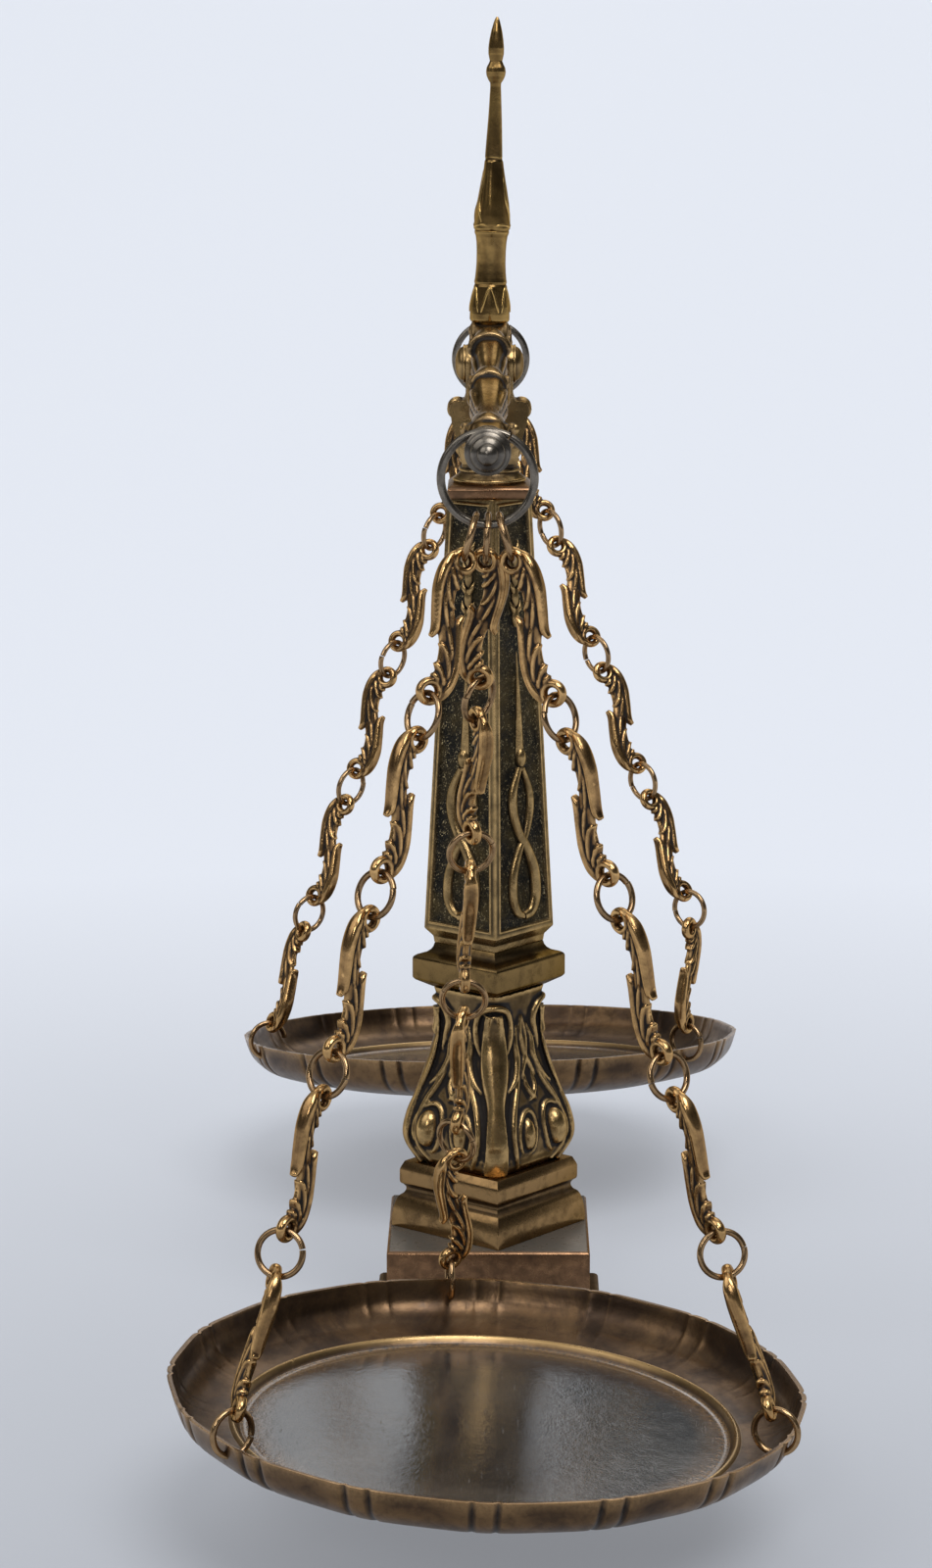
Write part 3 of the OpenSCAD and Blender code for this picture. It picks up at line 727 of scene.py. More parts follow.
def vase_ridge(corner, marks, halves, lift=0.4):
    """A carved ridge on the baluster through marks of (distance from the corner line, rise)."""
    marks = np.array(marks, float)
    points = vase_point(corner, marks[:, 0], marks[:, 1], lift)
    steps = 36
    fine = spline(marks, steps + 1)
    across = vase_point(corner, fine[:, 0], fine[:, 1], 1.0) - vase_point(corner, fine[:, 0], fine[:, 1], 0.0)
    return swept("ridge", points, halves, across, along=steps)


# Corner leaf, from its foot: rise, half width, and half height on a bold and on a flat corner
VASE_LEAF = [
    (0.5, 4.4, 1.2, 1.2), (9, 4.3, 1.4, 1.4), (17, 3.7, 1.5, 1.5), (25, 3.2, 2.0, 0.8), (33, 4.6, 2.8, 1.12),
    (40, 5.0, 2.8, 1.12), (48, 4.3, 1.9, 0.76), (57, 3.2, 1.0, 0.4),
]
VASE_HOOD = [
    (-4.6, 42), (-5.6, 47), (-5.9, 53), (-4.2, 58), (0, 60), (4.2, 58), (5.9, 53), (5.6, 47), (4.6, 42),
]
# Boss beside a leaf: distance from the corner line, half width, half height and depth. Bold corner, flat corner
VASE_BOSSES = [(13.2, 3.0, 5.8, 3.0), (10.4, 4.3, 6.8, 4.6)]
BOSS_RISE = 14.5
# Ridges on one side of a corner leaf: marks, and half width and height along them
VASE_FLAMES = [
    ([(9.4, 52), (8.2, 46), (9.0, 39.5), (7.6, 33.5), (4.6, 29.5)],
     [(0.3, 0.3), (1.2, 1.4), (1.5, 1.6), (1.2, 1.3), (0.3, 0.4)]),
    ([(10.8, 40), (8.6, 32), (6.4, 23), (6.0, 15), (7.0, 8), (8.6, 2)],
     [(0.3, 0.3), (1.1, 1.2), (1.2, 1.3), (1.1, 1.2), (1.0, 1.1), (0.5, 0.5)]),
    ([(11.8, 55), (11.2, 48), (13.4, 41), (17.0, 36), (19.4, 33)],
     [(0.3, 0.3), (1.1, 1.2), (1.3, 1.3), (1.1, 1.1), (0.3, 0.3)]),
    ([(12.6, 35.5), (13.6, 30.5), (17.0, 26.6), (19.6, 25.4)],
     [(0.3, 0.3), (1.0, 1.1), (1.0, 1.1), (0.3, 0.3)]),
]


def vase_corner(corner):
    """Leaf with a hooded tip on one corner, its flames, and the bosses beside it."""
    kind = corner % 2
    leaf = [(row[1], row[2 + kind]) for row in VASE_LEAF]
    parts = [
        vase_ridge(corner, [(0, row[0]) for row in VASE_LEAF], leaf, 0.2),
        vase_ridge(corner, VASE_HOOD, tapered(len(VASE_HOOD), (1.25, 1.5)), 0.5),
    ]
    for side in (-1, 1):
        vein = [(side * 1.5, 47), (side * 1.7, 52), (side * 1.2, 57)]
        parts.append(vase_ridge(corner, vein, [(0.7, 0.7)] * 3, 1.6))
        for marks, halves in VASE_FLAMES:
            parts.append(vase_ridge(corner, [(side * s, rise) for s, rise in marks], halves))
        s, wide, tall, deep = VASE_BOSSES[kind]
        at = vase_point(corner, side * s, BOSS_RISE, 0.0)
        out = Vector(vase_point(corner, side * s, BOSS_RISE, 1.0) - at).normalized()
        up = (Vector((0, 0, 1)) - out * out.z).normalized()
        axes = Matrix((out.cross(up), up, out)).transposed()
        parts.append(dome("boss", Vector(at), (wide, tall, deep), axes))
        angles = [radians(k) for k in range(-80, 241, 32)]
        ring = [(side * (s + (wide + 1.7) * cos(a)), BOSS_RISE + (tall + 2) * sin(a)) for a in angles]
        parts.append(vase_ridge(corner, ring, tapered(len(ring), (0.9, 1.0), (0.2, 0.2)), 0.2))
    return parts


class BALANCE_OT_baluster(bpy.types.Operator):
    """Squarish baluster with a carved leaf on each corner"""

    bl_idname = "balance.baluster"
    bl_label = "Baluster"

    def execute(self, context):
        def skin(u, v):
            rise = VASE_TOP * v
            return vase_point(0, VASE_GIRTH * np.interp(rise, VASE_RISES, VASE_WIDTHS) * 2 * pi * u, rise)

        parts = [rolled("vase_core", 160, 64, skin)]
        for corner in range(4):
            parts += vase_corner(corner)
        vase = weathered(fused("baluster_cast", parts, 0.5))
        finished(vase, "stand", ["baluster"], ANTIQUE, 60)
        return {"FINISHED"}


# Height of the flare at the shaft's foot, and the shaft's half diagonals at its foot and top
FLARE = 5.4
SHAFT_FOOT, SHAFT_TOP = 23.1, 14.8
# A sunk panel's insets, from the border inwards: width and rise
PANEL_STEPS = ((0.5, 0.45), (0.5, 0), (0.7, -1.45))
# Strands of the ribbon on each face: marks (across, up), widening, and height over the ground
RIBBON = (
    ([(-1.0, 59), (-4.6, 51), (-4.9, 44), (-2.2, 36.5), (2.2, 30), (5.8, 22), (6.4, 13), (3.8, 7.6),
      (-0.4, 6.2)], 1.05, 0.5),
    ([(1.0, 59), (4.4, 51), (4.8, 44), (2.4, 36), (-2.0, 29.5), (-5.4, 21), (-5.8, 13), (-3.6, 8),
      (-0.4, 6.2)], 0.85, 0.1),
)
RIBBON_WIDTHS = (1.1, 1.7, 1.9, 1.7, 1.9, 2.2, 2.2, 2.0, 1.5)
RIBBON_X = -0.35


class BALANCE_OT_shaft(bpy.types.Operator):
    """Collar, tapered shaft with its ribbon panels, and cap plate"""

    bl_idname = "balance.shaft"
    bl_label = "Collar, shaft and cap"

    def execute(self, context):
        collar = diamond("collar", VASE_Z, COLLAR_STEPS, (7.9, COLLAR_Z))
        finished(bevelled(collar, 0.35, 20), "stand", ["collar"], COLLAR, 24)
        foot = half_diagonal("column_shaft")
        top = (foot / SHAFT_FOOT) * SHAFT_TOP
        rows = [
            (foot - 3.6, COLLAR_Z), (foot - 3.2, COLLAR_Z + 2.4), (foot, COLLAR_Z + FLARE), (top, SHAFT_Z),
        ]
        shaft = stacked("shaft_body", 4, rows, sizes().column_turn)
        self.sink_panels(shaft)
        bevelled(shaft, 0.4)
        shaft = joined("column_shaft_cast", [shaft] + self.ornament(foot, top))
        finished(shaft, "stand", ["column_shaft"], stippled, 40)
        cap = upright("cap_plate", [(1, 0), (0.2, 0.5), (0, 1), (0, 3.4), (0.4, 4.1), (1.4, 4.8)])
        finished(bevelled(cap, angle=20), "stand", ["cap_plate"], CAP, 24)
        return {"FINISHED"}

    def sink_panels(self, shaft):
        """Inset the four long faces: a border, a raised lip, then the sunk ground."""
        in_edit_mode(shaft)
        bpy.ops.mesh.select_all(action="DESELECT")
        only(shaft)
        for polygon in shaft.data.polygons:
            long_face = polygon.area > 2000 * MM * MM and abs(polygon.normal.z) < 0.3
            polygon.select = long_face and polygon.center.z > 0.2
        bpy.ops.object.mode_set(mode="EDIT")
        bpy.ops.mesh.inset(thickness=sizes().panel_margin, depth=0, use_individual=True)
        for width, rise in PANEL_STEPS:
            bpy.ops.mesh.inset(thickness=width * MM, depth=rise * MM, use_individual=True)
        only(shaft)
        painted(shaft, "ground", np.zeros(len(shaft.data.vertices)))
        inside = {v for p in shaft.data.polygons if p.select for v in p.vertices}
        for v in inside:
            shaft.data.attributes["ground"].data[v].value = 1.0

    def ornament(self, foot, top):
        """On each face: a ribbon looped in a figure of eight, a bud and a spike over it, and husks."""
        length = SHAFT_Z - COLLAR_Z - FLARE
        slope = atan2((foot - top) / sqrt(2), length)
        parts = []
        for k in range(4):
            turn = sizes().column_turn + pi / 4 + k * pi / 2
            face = Matrix.Translation((0, 0, COLLAR_Z + FLARE)) @ Matrix.Rotation(turn, 4, "Z")
            face = face @ Matrix.Translation((foot / sqrt(2), 0, 0)) @ Matrix.Rotation(-slope, 4, "Y")
            parts += [placed(p, face) for p in self.ribbon()]
        return parts

    def ribbon(self):
        """The ornament of one face, flat in its YZ plane, with +X out of the face."""
        out, x = (1, 0, 0), RIBBON_X
        parts = []
        for marks, widening, rise in RIBBON:
            halves = [(w * widening, 0.5 + 0.55 * w) for w in RIBBON_WIDTHS]
            strand = [(x + rise, y, h) for y, h in marks]
            parts.append(swept("strand", strand, halves, out, around=12, along=44))
        spike = [(x, 0, 63), (x, 0.2, 72), (x, 0.1, 84), (x, 0, 100)]
        halves = [(2.0, 1.4), (1.5, 1.2), (0.9, 0.9), (0.15, 0.2)]
        parts.append(swept("spike", spike, halves, out, around=10, along=16))
        parts.append(dome("bud", (x + 0.5, 0, 62.6), (2.0, 2.1, 3.6)))
        parts.append(dome("bud_ring", (x, 0, 58.6), (1.7, 2.6, 1.0)))
        for number, h in enumerate((112, 119, 126, 133)):
            wide = 1.8 - 0.1 * number
            parts.append(dome("husk", (x, 0, h), (1.3, wide, 3.4)))
            for side in (-1, 1):
                tip = (x, side * (wide + 1.0), h + 6)
                leaf = [(x, side * 0.4, h + 1), (x + 0.4, side * wide, h + 3.4), tip]
                parts.append(swept("leaf", leaf, [(0.5, 0.5), (0.9, 0.9), (0.15, 0.2)], out, 10, 12))
        return parts


# Fork, beam, knobs and pointer


# Profile of a rosette, as shares of its radius and its height
ROSETTE_ROWS = [
    (0.9, 0), (0.99, 0.06), (1, 0.14), (0.98, 0.22), (0.9, 0.25), (0.88, 0.3), (0.85, 0.42), (0.77, 0.6),
    (0.66, 0.74), (0.52, 0.86), (0.35, 0.94), (0.18, 0.985), (0.02, 1),
]
# Leaf that stands up to the bead on each cheek: out, aside, and height over the cap
BEAD_LEAF = ((7, 8.8, 9), (6.9, 10, 13), (6.2, 9, 16))


class BALANCE_OT_fork(bpy.types.Operator):
    """Fork with its rolled shoulders and beads, and the domed pivot nuts"""

    bl_idname = "balance.fork"
    bl_label = "Fork and pivot nuts"

    def execute(self, context):
        parts = [bevelled(copied("fork", "fork_body"), angle=40)]
        shoulder = CAP_Z + 25.6
        angles = np.linspace(0, 2 * pi, 13)
        for side in (-1, 1):
            for x in (-4.2, 0, 4.2):
                ring = [(x, side * 11 + 3.1 * cos(a), shoulder + 3.1 * sin(a)) for a in angles]
                parts.append(swept("roll_rib", ring, [(0.55, 0.5)] * len(ring), (1, 0, 0), 8, 36))
            for front in (-1, 1):
                parts.append(dome("bead", (front * 6.6, side * 8.4, CAP_Z + 18.6), (1.9, 2.6, 2.6)))
                leaf = [(front * x, side * y, CAP_Z + rise) for x, y, rise in BEAD_LEAF]
                parts.append(swept("bead_leaf", leaf, [(1.1, 0.5), (1.8, 0.8), (0.5, 0.4)], (1, 0, 0), 10, 14))
        for rise, r in ((1.0, 12.2), (4.4, 10.0), (7.6, 9.8)):
            parts.append(hoop("neck_ring", r, 0.75, CAP_Z + rise))
        finished(joined("fork_cast", parts), "stand", ["fork"], ANTIQUE, 40)
        for name, side in (("left_rosette", -1), ("right_rosette", 1)):
            self.rosette(name, side)
        return {"FINISHED"}

    def rosette(self, name, side):
        """Domed nut with a bead round its foot."""
        a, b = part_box(name)
        inner = (a.y if side > 0 else b.y) / MM
        r, rise = (b.x - a.x) / 2 / MM, (b.y - a.y) / MM
        nut = stacked(name + "_nut", 48, [(r * q, rise * h) for q, h in ROSETTE_ROWS])
        placed(nut, Matrix.Translation((0, inner, PIVOT_Z)) @ Matrix.Rotation(-side * pi / 2, 4, "X"))
        finished(nut, "stand", [name], ANTIQUE, 50)


def hoop(name, radius, wire, z, around=64):
    """A plain ring lying flat."""
    only()
    bpy.ops.mesh.primitive_torus_add(
        major_radius=radius * MM, minor_radius=wire * MM, major_segments=around, minor_segments=12,
        location=(0, 0, z * MM),
    )
    return named(name)


SCROLL_PITCH, FIRST_SCROLL = 70, 30
# Scrolls of an arm, from the hub: radius, width and drop, and the size and reach of the leaves behind each
SCROLLS = ((7.2, 12.4, 2, 1, 46), (5.6, 14, -1.5, 0.85, 44), (4.4, 16.6, 0.6, 0.7, 14))
HUB_R, HUB_T = 14.8, 10.6


def wave(x):
    """1 at a scroll and -1 midway between two."""
    return np.cos(2 * pi * (x - FIRST_SCROLL) / SCROLL_PITCH)


def arm_mid(x):
    """Height of the arm's middle."""
    f = 1 - x / ARM_END
    return KNOB_Z + 9.5 * np.maximum(f, 0) ** 1.1 + 1.2 * np.sin(pi * f) + 1.6 * f * wave(x)


def arm_half(x):
    """Half the arm's height."""
    return 3.4 + 7.2 * (1 - x / (ARM_END - 3)) + 1.7 * wave(x)


def arm_side(x):
    """Half the arm's thickness."""
    return 4.5 + 1.1 * wave(x)


class BALANCE_OT_beam(bpy.types.Operator):
    """Scrolled beam: a hub, and on each side an arm of three scrolls with leaves between them"""

    bl_idname = "balance.beam"
    bl_label = "Beam"

    def execute(self, context):
        parts = self.arm() + self.hub()
        mirrored = self.arm()
        for p in mirrored:
            placed(p, Matrix.Scale(-1, 4, (1, 0, 0)))
            in_edit_mode(p)
            bpy.ops.mesh.normals_make_consistent(inside=False)
        beam = weathered(fused("beam_casting_carved", parts + mirrored, 0.55))
        finished(beam, "beam", ["beam_casting"], BEAM, 60)
        return {"FINISHED"}

    def arm(self):
        """The arm towards the near pan."""
        xs = np.linspace(4, ARM_END, 15)
        spine = swept(
            "arm_core", [(x, 0, arm_mid(x)) for x in xs], [(arm_half(x) * 0.98, arm_side(x)) for x in xs],
            around=28, along=90, square=3.2,
        )
        parts = [spine]
        for k, (r, w, drop, size, reach) in enumerate(SCROLLS):
            x = FIRST_SCROLL + k * SCROLL_PITCH
            parts += self.scroll(x, arm_mid(x) - drop, r, w)
            parts += self.leaves(x, size, reach)
        return parts

    def scroll(self, x, z, r, w):
        """A roll across the arm, with a raised spiral on each end."""
        rows = [
            (r - 1.4, -w / 2 + 0.5), (r - 0.3, -w / 2 + 1.3), (r - 0.5, -w / 5), (r - 0.9, 0), (r - 0.5, w / 5),
            (r - 0.3, w / 2 - 1.3), (r - 1.4, w / 2 - 0.5),
        ]
        across = Matrix.Translation((x, 0, z)) @ Matrix.Rotation(pi / 2, 4, "X")
        parts = [placed(stacked("roll", 40, rows), across)]
        count = 22
        turns = np.linspace(0, 1.75 * 2 * pi, count)
        radii = np.linspace(r - 0.8, 1.0, count)
        halves = [(0.9 - 0.35 * i / (count - 1), 0.9) for i in range(count)]
        for side in (-1, 1):
            y = side * (w / 2 - 0.9)
            points = [(x + q * cos(a + 0.6), y, z + q * sin(a + 0.6)) for a, q in zip(turns, radii)]
            parts.append(swept("volute", points, halves, around=10, along=80))
            parts.append(dome("eye", (x, side * (w / 2 - 0.8), z), (1.4, 1.1, 1.4)))
        return parts

    def leaves(self, x, size, reach):
        """Flutes along both flanks from a scroll outwards, and a hooded leaf tip with a rim on top."""
        flute = [
            (0.5, 0.5), (1.5 * size, 1.3), (1.7 * size, 1.4), (1.4 * size, 1.2), (1.0 * size, 0.9),
            (0.2, 0.2),
        ]
        parts = []
        for side in (-1, 1):
            for row in (-1, 0, 1):
                marks = np.linspace(x + 3, x + reach - 7 * abs(row), 6)
                rise = row * np.array([1.2, 3.6, 3.9, 3.0, 2.4, 3.4]) * size
                points = [(m, side * (arm_side(m) * 0.96), arm_mid(m) + q) for m, q in zip(marks, rise)]
                parts.append(swept("flute", points, flute, around=10, along=30))
        top = arm_mid(x) + arm_half(x)
        parts.append(dome("hood", (x - 3, 0, top - 3.0 * size), (12 * size, 5.4 * size, 4.6 * size)))
        arch = [
            (x + 7 * size, 6.4 * size * sin(a), top - 5.6 * size + 5.4 * size * cos(a))
            for a in np.linspace(-1.9, 1.9, 11)
        ]
        halves = tapered(len(arch), (1.3 * size, 1.1 * size))
        parts.append(swept("rim", arch, halves, (1, 0, 0), around=12, along=40))
        return parts

    def hub(self):
        """Disc with a raised rim and a fan of flutes that rise to the pointer's foot."""
        half = HUB_T / 2
        rim = [
            (HUB_R - 1.2, -half), (HUB_R - 0.2, -half + 0.8), (HUB_R - 0.2, half - 0.8), (HUB_R - 1.2, half),
        ]
        disc = stacked("hub_disc", 56, rim)
        parts = [placed(disc, Matrix.Translation((0, 0, PIVOT_Z)) @ Matrix.Rotation(pi / 2, 4, "X"))]
        neck = [(0, 0, PIVOT_Z), (0, 0, PIVOT_Z + 10), (0, 0, PIVOT_Z + HUB_R)]
        parts.append(swept("neck", neck, [(6, 5.2), (5.6, 5.2), (5.2, 5.2)], around=24, along=16))
        angles = np.linspace(0, 2 * pi, 25)
        for side in (-1, 1):
            for lean in (-2, -1, 0, 1, 2):
                points = [
                    (lean * 4.6, side * 4.2, PIVOT_Z + 7.4 - 0.6 * lean * lean),
                    (lean * 4.0, side * 5.3, PIVOT_Z + 10.5 - 0.4 * lean * lean),
                    (lean * 2.4, side * 5.6, PIVOT_Z + 13.2), (lean * 1.5, side * 5.3, PIVOT_Z + 15.4),
                ]
                halves = [(0.4, 0.4), (1.2, 0.9), (1.0, 0.9), (0.3, 0.3)]
                parts.append(swept("fan", points, halves, around=10, along=20))
            for q in (12.4, 10.2):
                ring = [(q * cos(a), side * (half - 0.35), PIVOT_Z + q * sin(a)) for a in angles]
                parts.append(swept("hub_ring", ring, [(0.7, 0.5)] * len(ring), around=8, along=96))
        return parts


# Profile of a knob: (radius, height out from the beam's end), with the stirrup's groove near 14.7
KNOB_ROWS = [
    (4.6, 0), (5.0, 0.4), (5.4, 1.1), (5.0, 1.9), (4.6, 2.4), (5.2, 3.0), (6, 3.7), (6.4, 5), (6.45, 6),
    (6.3, 7.4), (6, 8.6), (5.3, 10), (4.4, 11.2), (4, 12.2), (3.95, 14.7), (4, 17.2), (4.7, 18.3), (5.6, 19),
    (6.5, 19.5), (6.9, 20), (7, 20.6), (7, 22.2), (6.3, 22.7), (5.9, 23.1), (6.3, 23.7), (6.3, 24.7),
    (5.5, 25.2), (5.1, 25.6), (5.3, 26.3), (4.9, 27.1), (3.7, 27.6), (3.2, 28), (3.1, 28.7), (2.4, 29.5),
    (1.2, 30.1), (0.3, 30.4),
]


class BALANCE_OT_knobs(bpy.types.Operator):
    """Turned knobs at the beam's ends"""

    bl_idname = "balance.knobs"
    bl_label = "Knobs"

    def execute(self, context):
        for name, side in SIDES.items():
            knob = stacked(name + "_knob_turned", 56, KNOB_ROWS)
            turn = Matrix.Rotation(side * pi / 2, 4, "Y")
            placed(knob, Matrix.Translation((side * ARM_END, 0, KNOB_Z)) @ turn)
            finished(knob, "beam", [name + "_knob"], GREY, 50)
        return {"FINISHED"}


POINTER_LEAN = radians(1.4)


def pointer_axis():
    """Place of the pointer's foot, with Z along the pointer."""
    return Matrix.Translation((0, 0, PIVOT_Z + HUB_R)) @ Matrix.Rotation(-POINTER_LEAN, 4, "X")


def turned(name, rows, lobes=0, depth=0.0, twist=0.0, around=64, along=60, square=2.0):
    """A piece turned on the pointer's axis from rows of (radius, height), with lobes filed into it. depth is
    their share of the radius, twist is how far they turn on the way up, and square is 2 for a round piece."""
    rows = np.array(rows, float)
    z = spline(rows[:, 1:], along + 1)[:, 0]
    r = np.interp(z, rows[:, 1], rows[:, 0])

    def place(u, v):
        k = np.rint(v * along).astype(int)
        a = 2 * pi * u
        share = (z[k] - z[0]) / (z[-1] - z[0])
        swell = np.sin(pi * np.clip(share, 0, 1)) ** 0.5
        lobe = 1 + depth * swell * np.cos(lobes * a + twist * share)
        ring = (np.abs(np.cos(a)) ** square + np.abs(np.sin(a)) ** square) ** (-1 / square)
        return np.stack([r[k] * lobe * ring * np.cos(a), r[k] * lobe * ring * np.sin(a), z[k]], -1)

    return rolled(name, around, along, place)


# Profiles of the pointer's pieces: (radius, height along the pointer)
CUP_ROWS = [
    (6.5, -0.2), (7.0, 0.5), (7.05, 2.5), (6.9, 5.0), (6.5, 8.0), (6.1, 10.4), (5.8, 12), (5.4, 12.8),
]
TUBE_ROWS = [
    (5.5, 12.8), (5.7, 13.4), (5.5, 14.6), (5.3, 17), (5.15, 20), (5.15, 24), (5.3, 27), (5.6, 29.2),
    (6.0, 30.2), (6.0, 30.9), (5.7, 31.2),
]
CALYX_ROWS = [
    (5.9, 31.2), (6.3, 31.8), (6.25, 33.2), (6.0, 36), (5.5, 40), (4.8, 44), (4.1, 48), (3.5, 52),
    (3.2, 54.6), (2.9, 55.2), (2.9, 56),
]
TIP_ROWS = [
    (3, 56), (2.9, 58), (2.6, 64), (2.3, 70), (2.0, 76), (1.8, 80), (1.85, 81.2), (2.5, 82.2), (3.1, 83.6),
    (3.3, 85), (3.1, 86.4), (2.5, 87.6), (2.1, 88.6), (2.3, 89.6), (2.6, 91), (2.65, 93), (2.4, 95.6),
    (1.9, 98.6), (1.3, 101), (0.8, 102.6), (0.3, 103.5),
]
PETALS = 6
# A fold of the calyx: radius, bend round the pointer, and height, with half width and depth at each point
CALYX_FOLD = ((5.9, 0.3, 33), (5.7, 0.1, 37), (5.1, -0.1, 41), (4.3, -0.1, 46), (3.4, 0.1, 51.5))
CALYX_FOLD_HALVES = [(0.4, 0.2), (0.7, 0.6), (0.6, 0.6), (0.5, 0.5), (0.2, 0.2)]


class BALANCE_OT_pointer(bpy.types.Operator):
    """Pointer: leaf collar, tube, calyx and long tip"""

    bl_idname = "balance.pointer"
    bl_label = "Pointer"

    def execute(self, context):
        cup = turned("cup", CUP_ROWS, PETALS, 0.03, 0, 96)
        collar = joined("pointer_collar_cast", [cup] + self.petals())
        tube = turned("pointer_tube_turned", TUBE_ROWS, 6, 0.025, 0.4)
        calyx = turned("calyx", CALYX_ROWS, 3, 0.07, 1.6, 96)
        calyx = joined("pointer_calyx_carved", [calyx] + self.hem())
        tip = turned("pointer_tip_carved", TIP_ROWS, 3, 0.06, 5.0, 64, 120, 2.4)
        pieces = {"pointer_collar": collar, "pointer_tube": tube, "pointer_calyx": calyx, "pointer_tip": tip}
        for node, o in pieces.items():
            placed(o, pointer_axis())
            finished(o, "beam", [node], POINTER, 50)
        return {"FINISHED"}

    def petals(self):
        """Raised edges of the petals that hug the collar."""
        radii, heights = zip(*CUP_ROWS)
        spread, tilt = 1.35, 0.44
        parts = []
        for k in range(PETALS):
            middle_turn = k * 2 * pi / PETALS
            edge = []
            for a in np.linspace(-spread, spread, 15):
                z = 0.9 + 10.6 * cos(a)
                turn = middle_turn + tilt * a / spread
                q = np.interp(z, heights, radii) - 0.1
                edge.append((q * cos(turn), q * sin(turn), z))
            out = (cos(middle_turn), sin(middle_turn), 0)
            parts.append(swept("petal", edge, tapered(len(edge), (0.5, 0.45)), out, 10, 40))
        return parts

    def hem(self):
        """Ragged lower edge of the calyx, and the folds that rise from it."""
        angles = np.linspace(0, 2 * pi, 49)
        ring = [(6.0 * cos(a), 6.0 * sin(a), 32.3 + 0.9 * abs(sin(2.5 * a))) for a in angles]
        parts = [swept("hem", ring, [(0.45, 0.45)] * len(ring), (0, 0, 1), around=10, along=144)]
        for turn in (-0.9, 1.2, 2.9, 4.4):
            fold = [(q * cos(turn + bend), q * sin(turn + bend), z) for q, bend, z in CALYX_FOLD]
            out = (cos(turn), sin(turn), 0)
            parts.append(swept("fold", fold, CALYX_FOLD_HALVES, out, 10, 24))
        return parts


# Pans

PAN_R, PAN_T = 100, 1.5
# Outside of the wall, from the rim: distance in from the rim and depth below it
PAN_WALL = [(0, 0), (0.7, 2.2), (1.6, 5), (3, 8), (5.4, 10.6), (9, 12.8), (14.5, 14.4), (20, 15.2)]
PAN_FLOOR_R, PAN_DEPTH = 75.5, 16.6
PAN_RIM_Z = {"near": 49.5, "far": 60}
# Dip about Y and roll about X of each pan
PAN_TILT = {"near": (1.4, -2.5), "far": (-7.4, 0.8)}
# The bead between floor and wall: radius and height over the floor
BEAD_R = 79
PAN_BEAD = [
    (77.2, 0.3), (77.9, 1.4), (78.5, 2.2), (BEAD_R, 2.5), (BEAD_R + 0.6, 2.3), (BEAD_R + 1.3, 1.5),
    (BEAD_R + 2.6, 1.6),
]
# Grooves of a pair: degrees from its middle, half width of each, and depth outside and inside
GROOVE_AT, GROOVE_HALF = 2.2, 0.55
GROOVE_OUT, GROOVE_IN = 0.85, 0.3
# Radius where the grooved wall begins, and the width over which the grooves deepen
WALL_FROM, WALL_FADE = 84, 6
# Steps round the pan, in degrees from the middle of a pair, closer together at the grooves
PAIR_HALF = (0.5, 1.3, 1.8, 2.2, 2.6, 3.0, 3.7, 5.4, 7.4, 9.6)
# How far the wall swells between the pairs
WALL_SWELL = 0.35


def pan_matrix(name):
    """Place of a pan: its rim's centre is at the origin of its own frame."""
    dip, roll = PAN_TILT[name]
    turn = Matrix.Rotation(radians(roll), 4, "X") @ Matrix.Rotation(radians(dip), 4, "Y")
    return Matrix.Translation((SIDES[name] * ARM, 0, PAN_RIM_Z[name])) @ turn


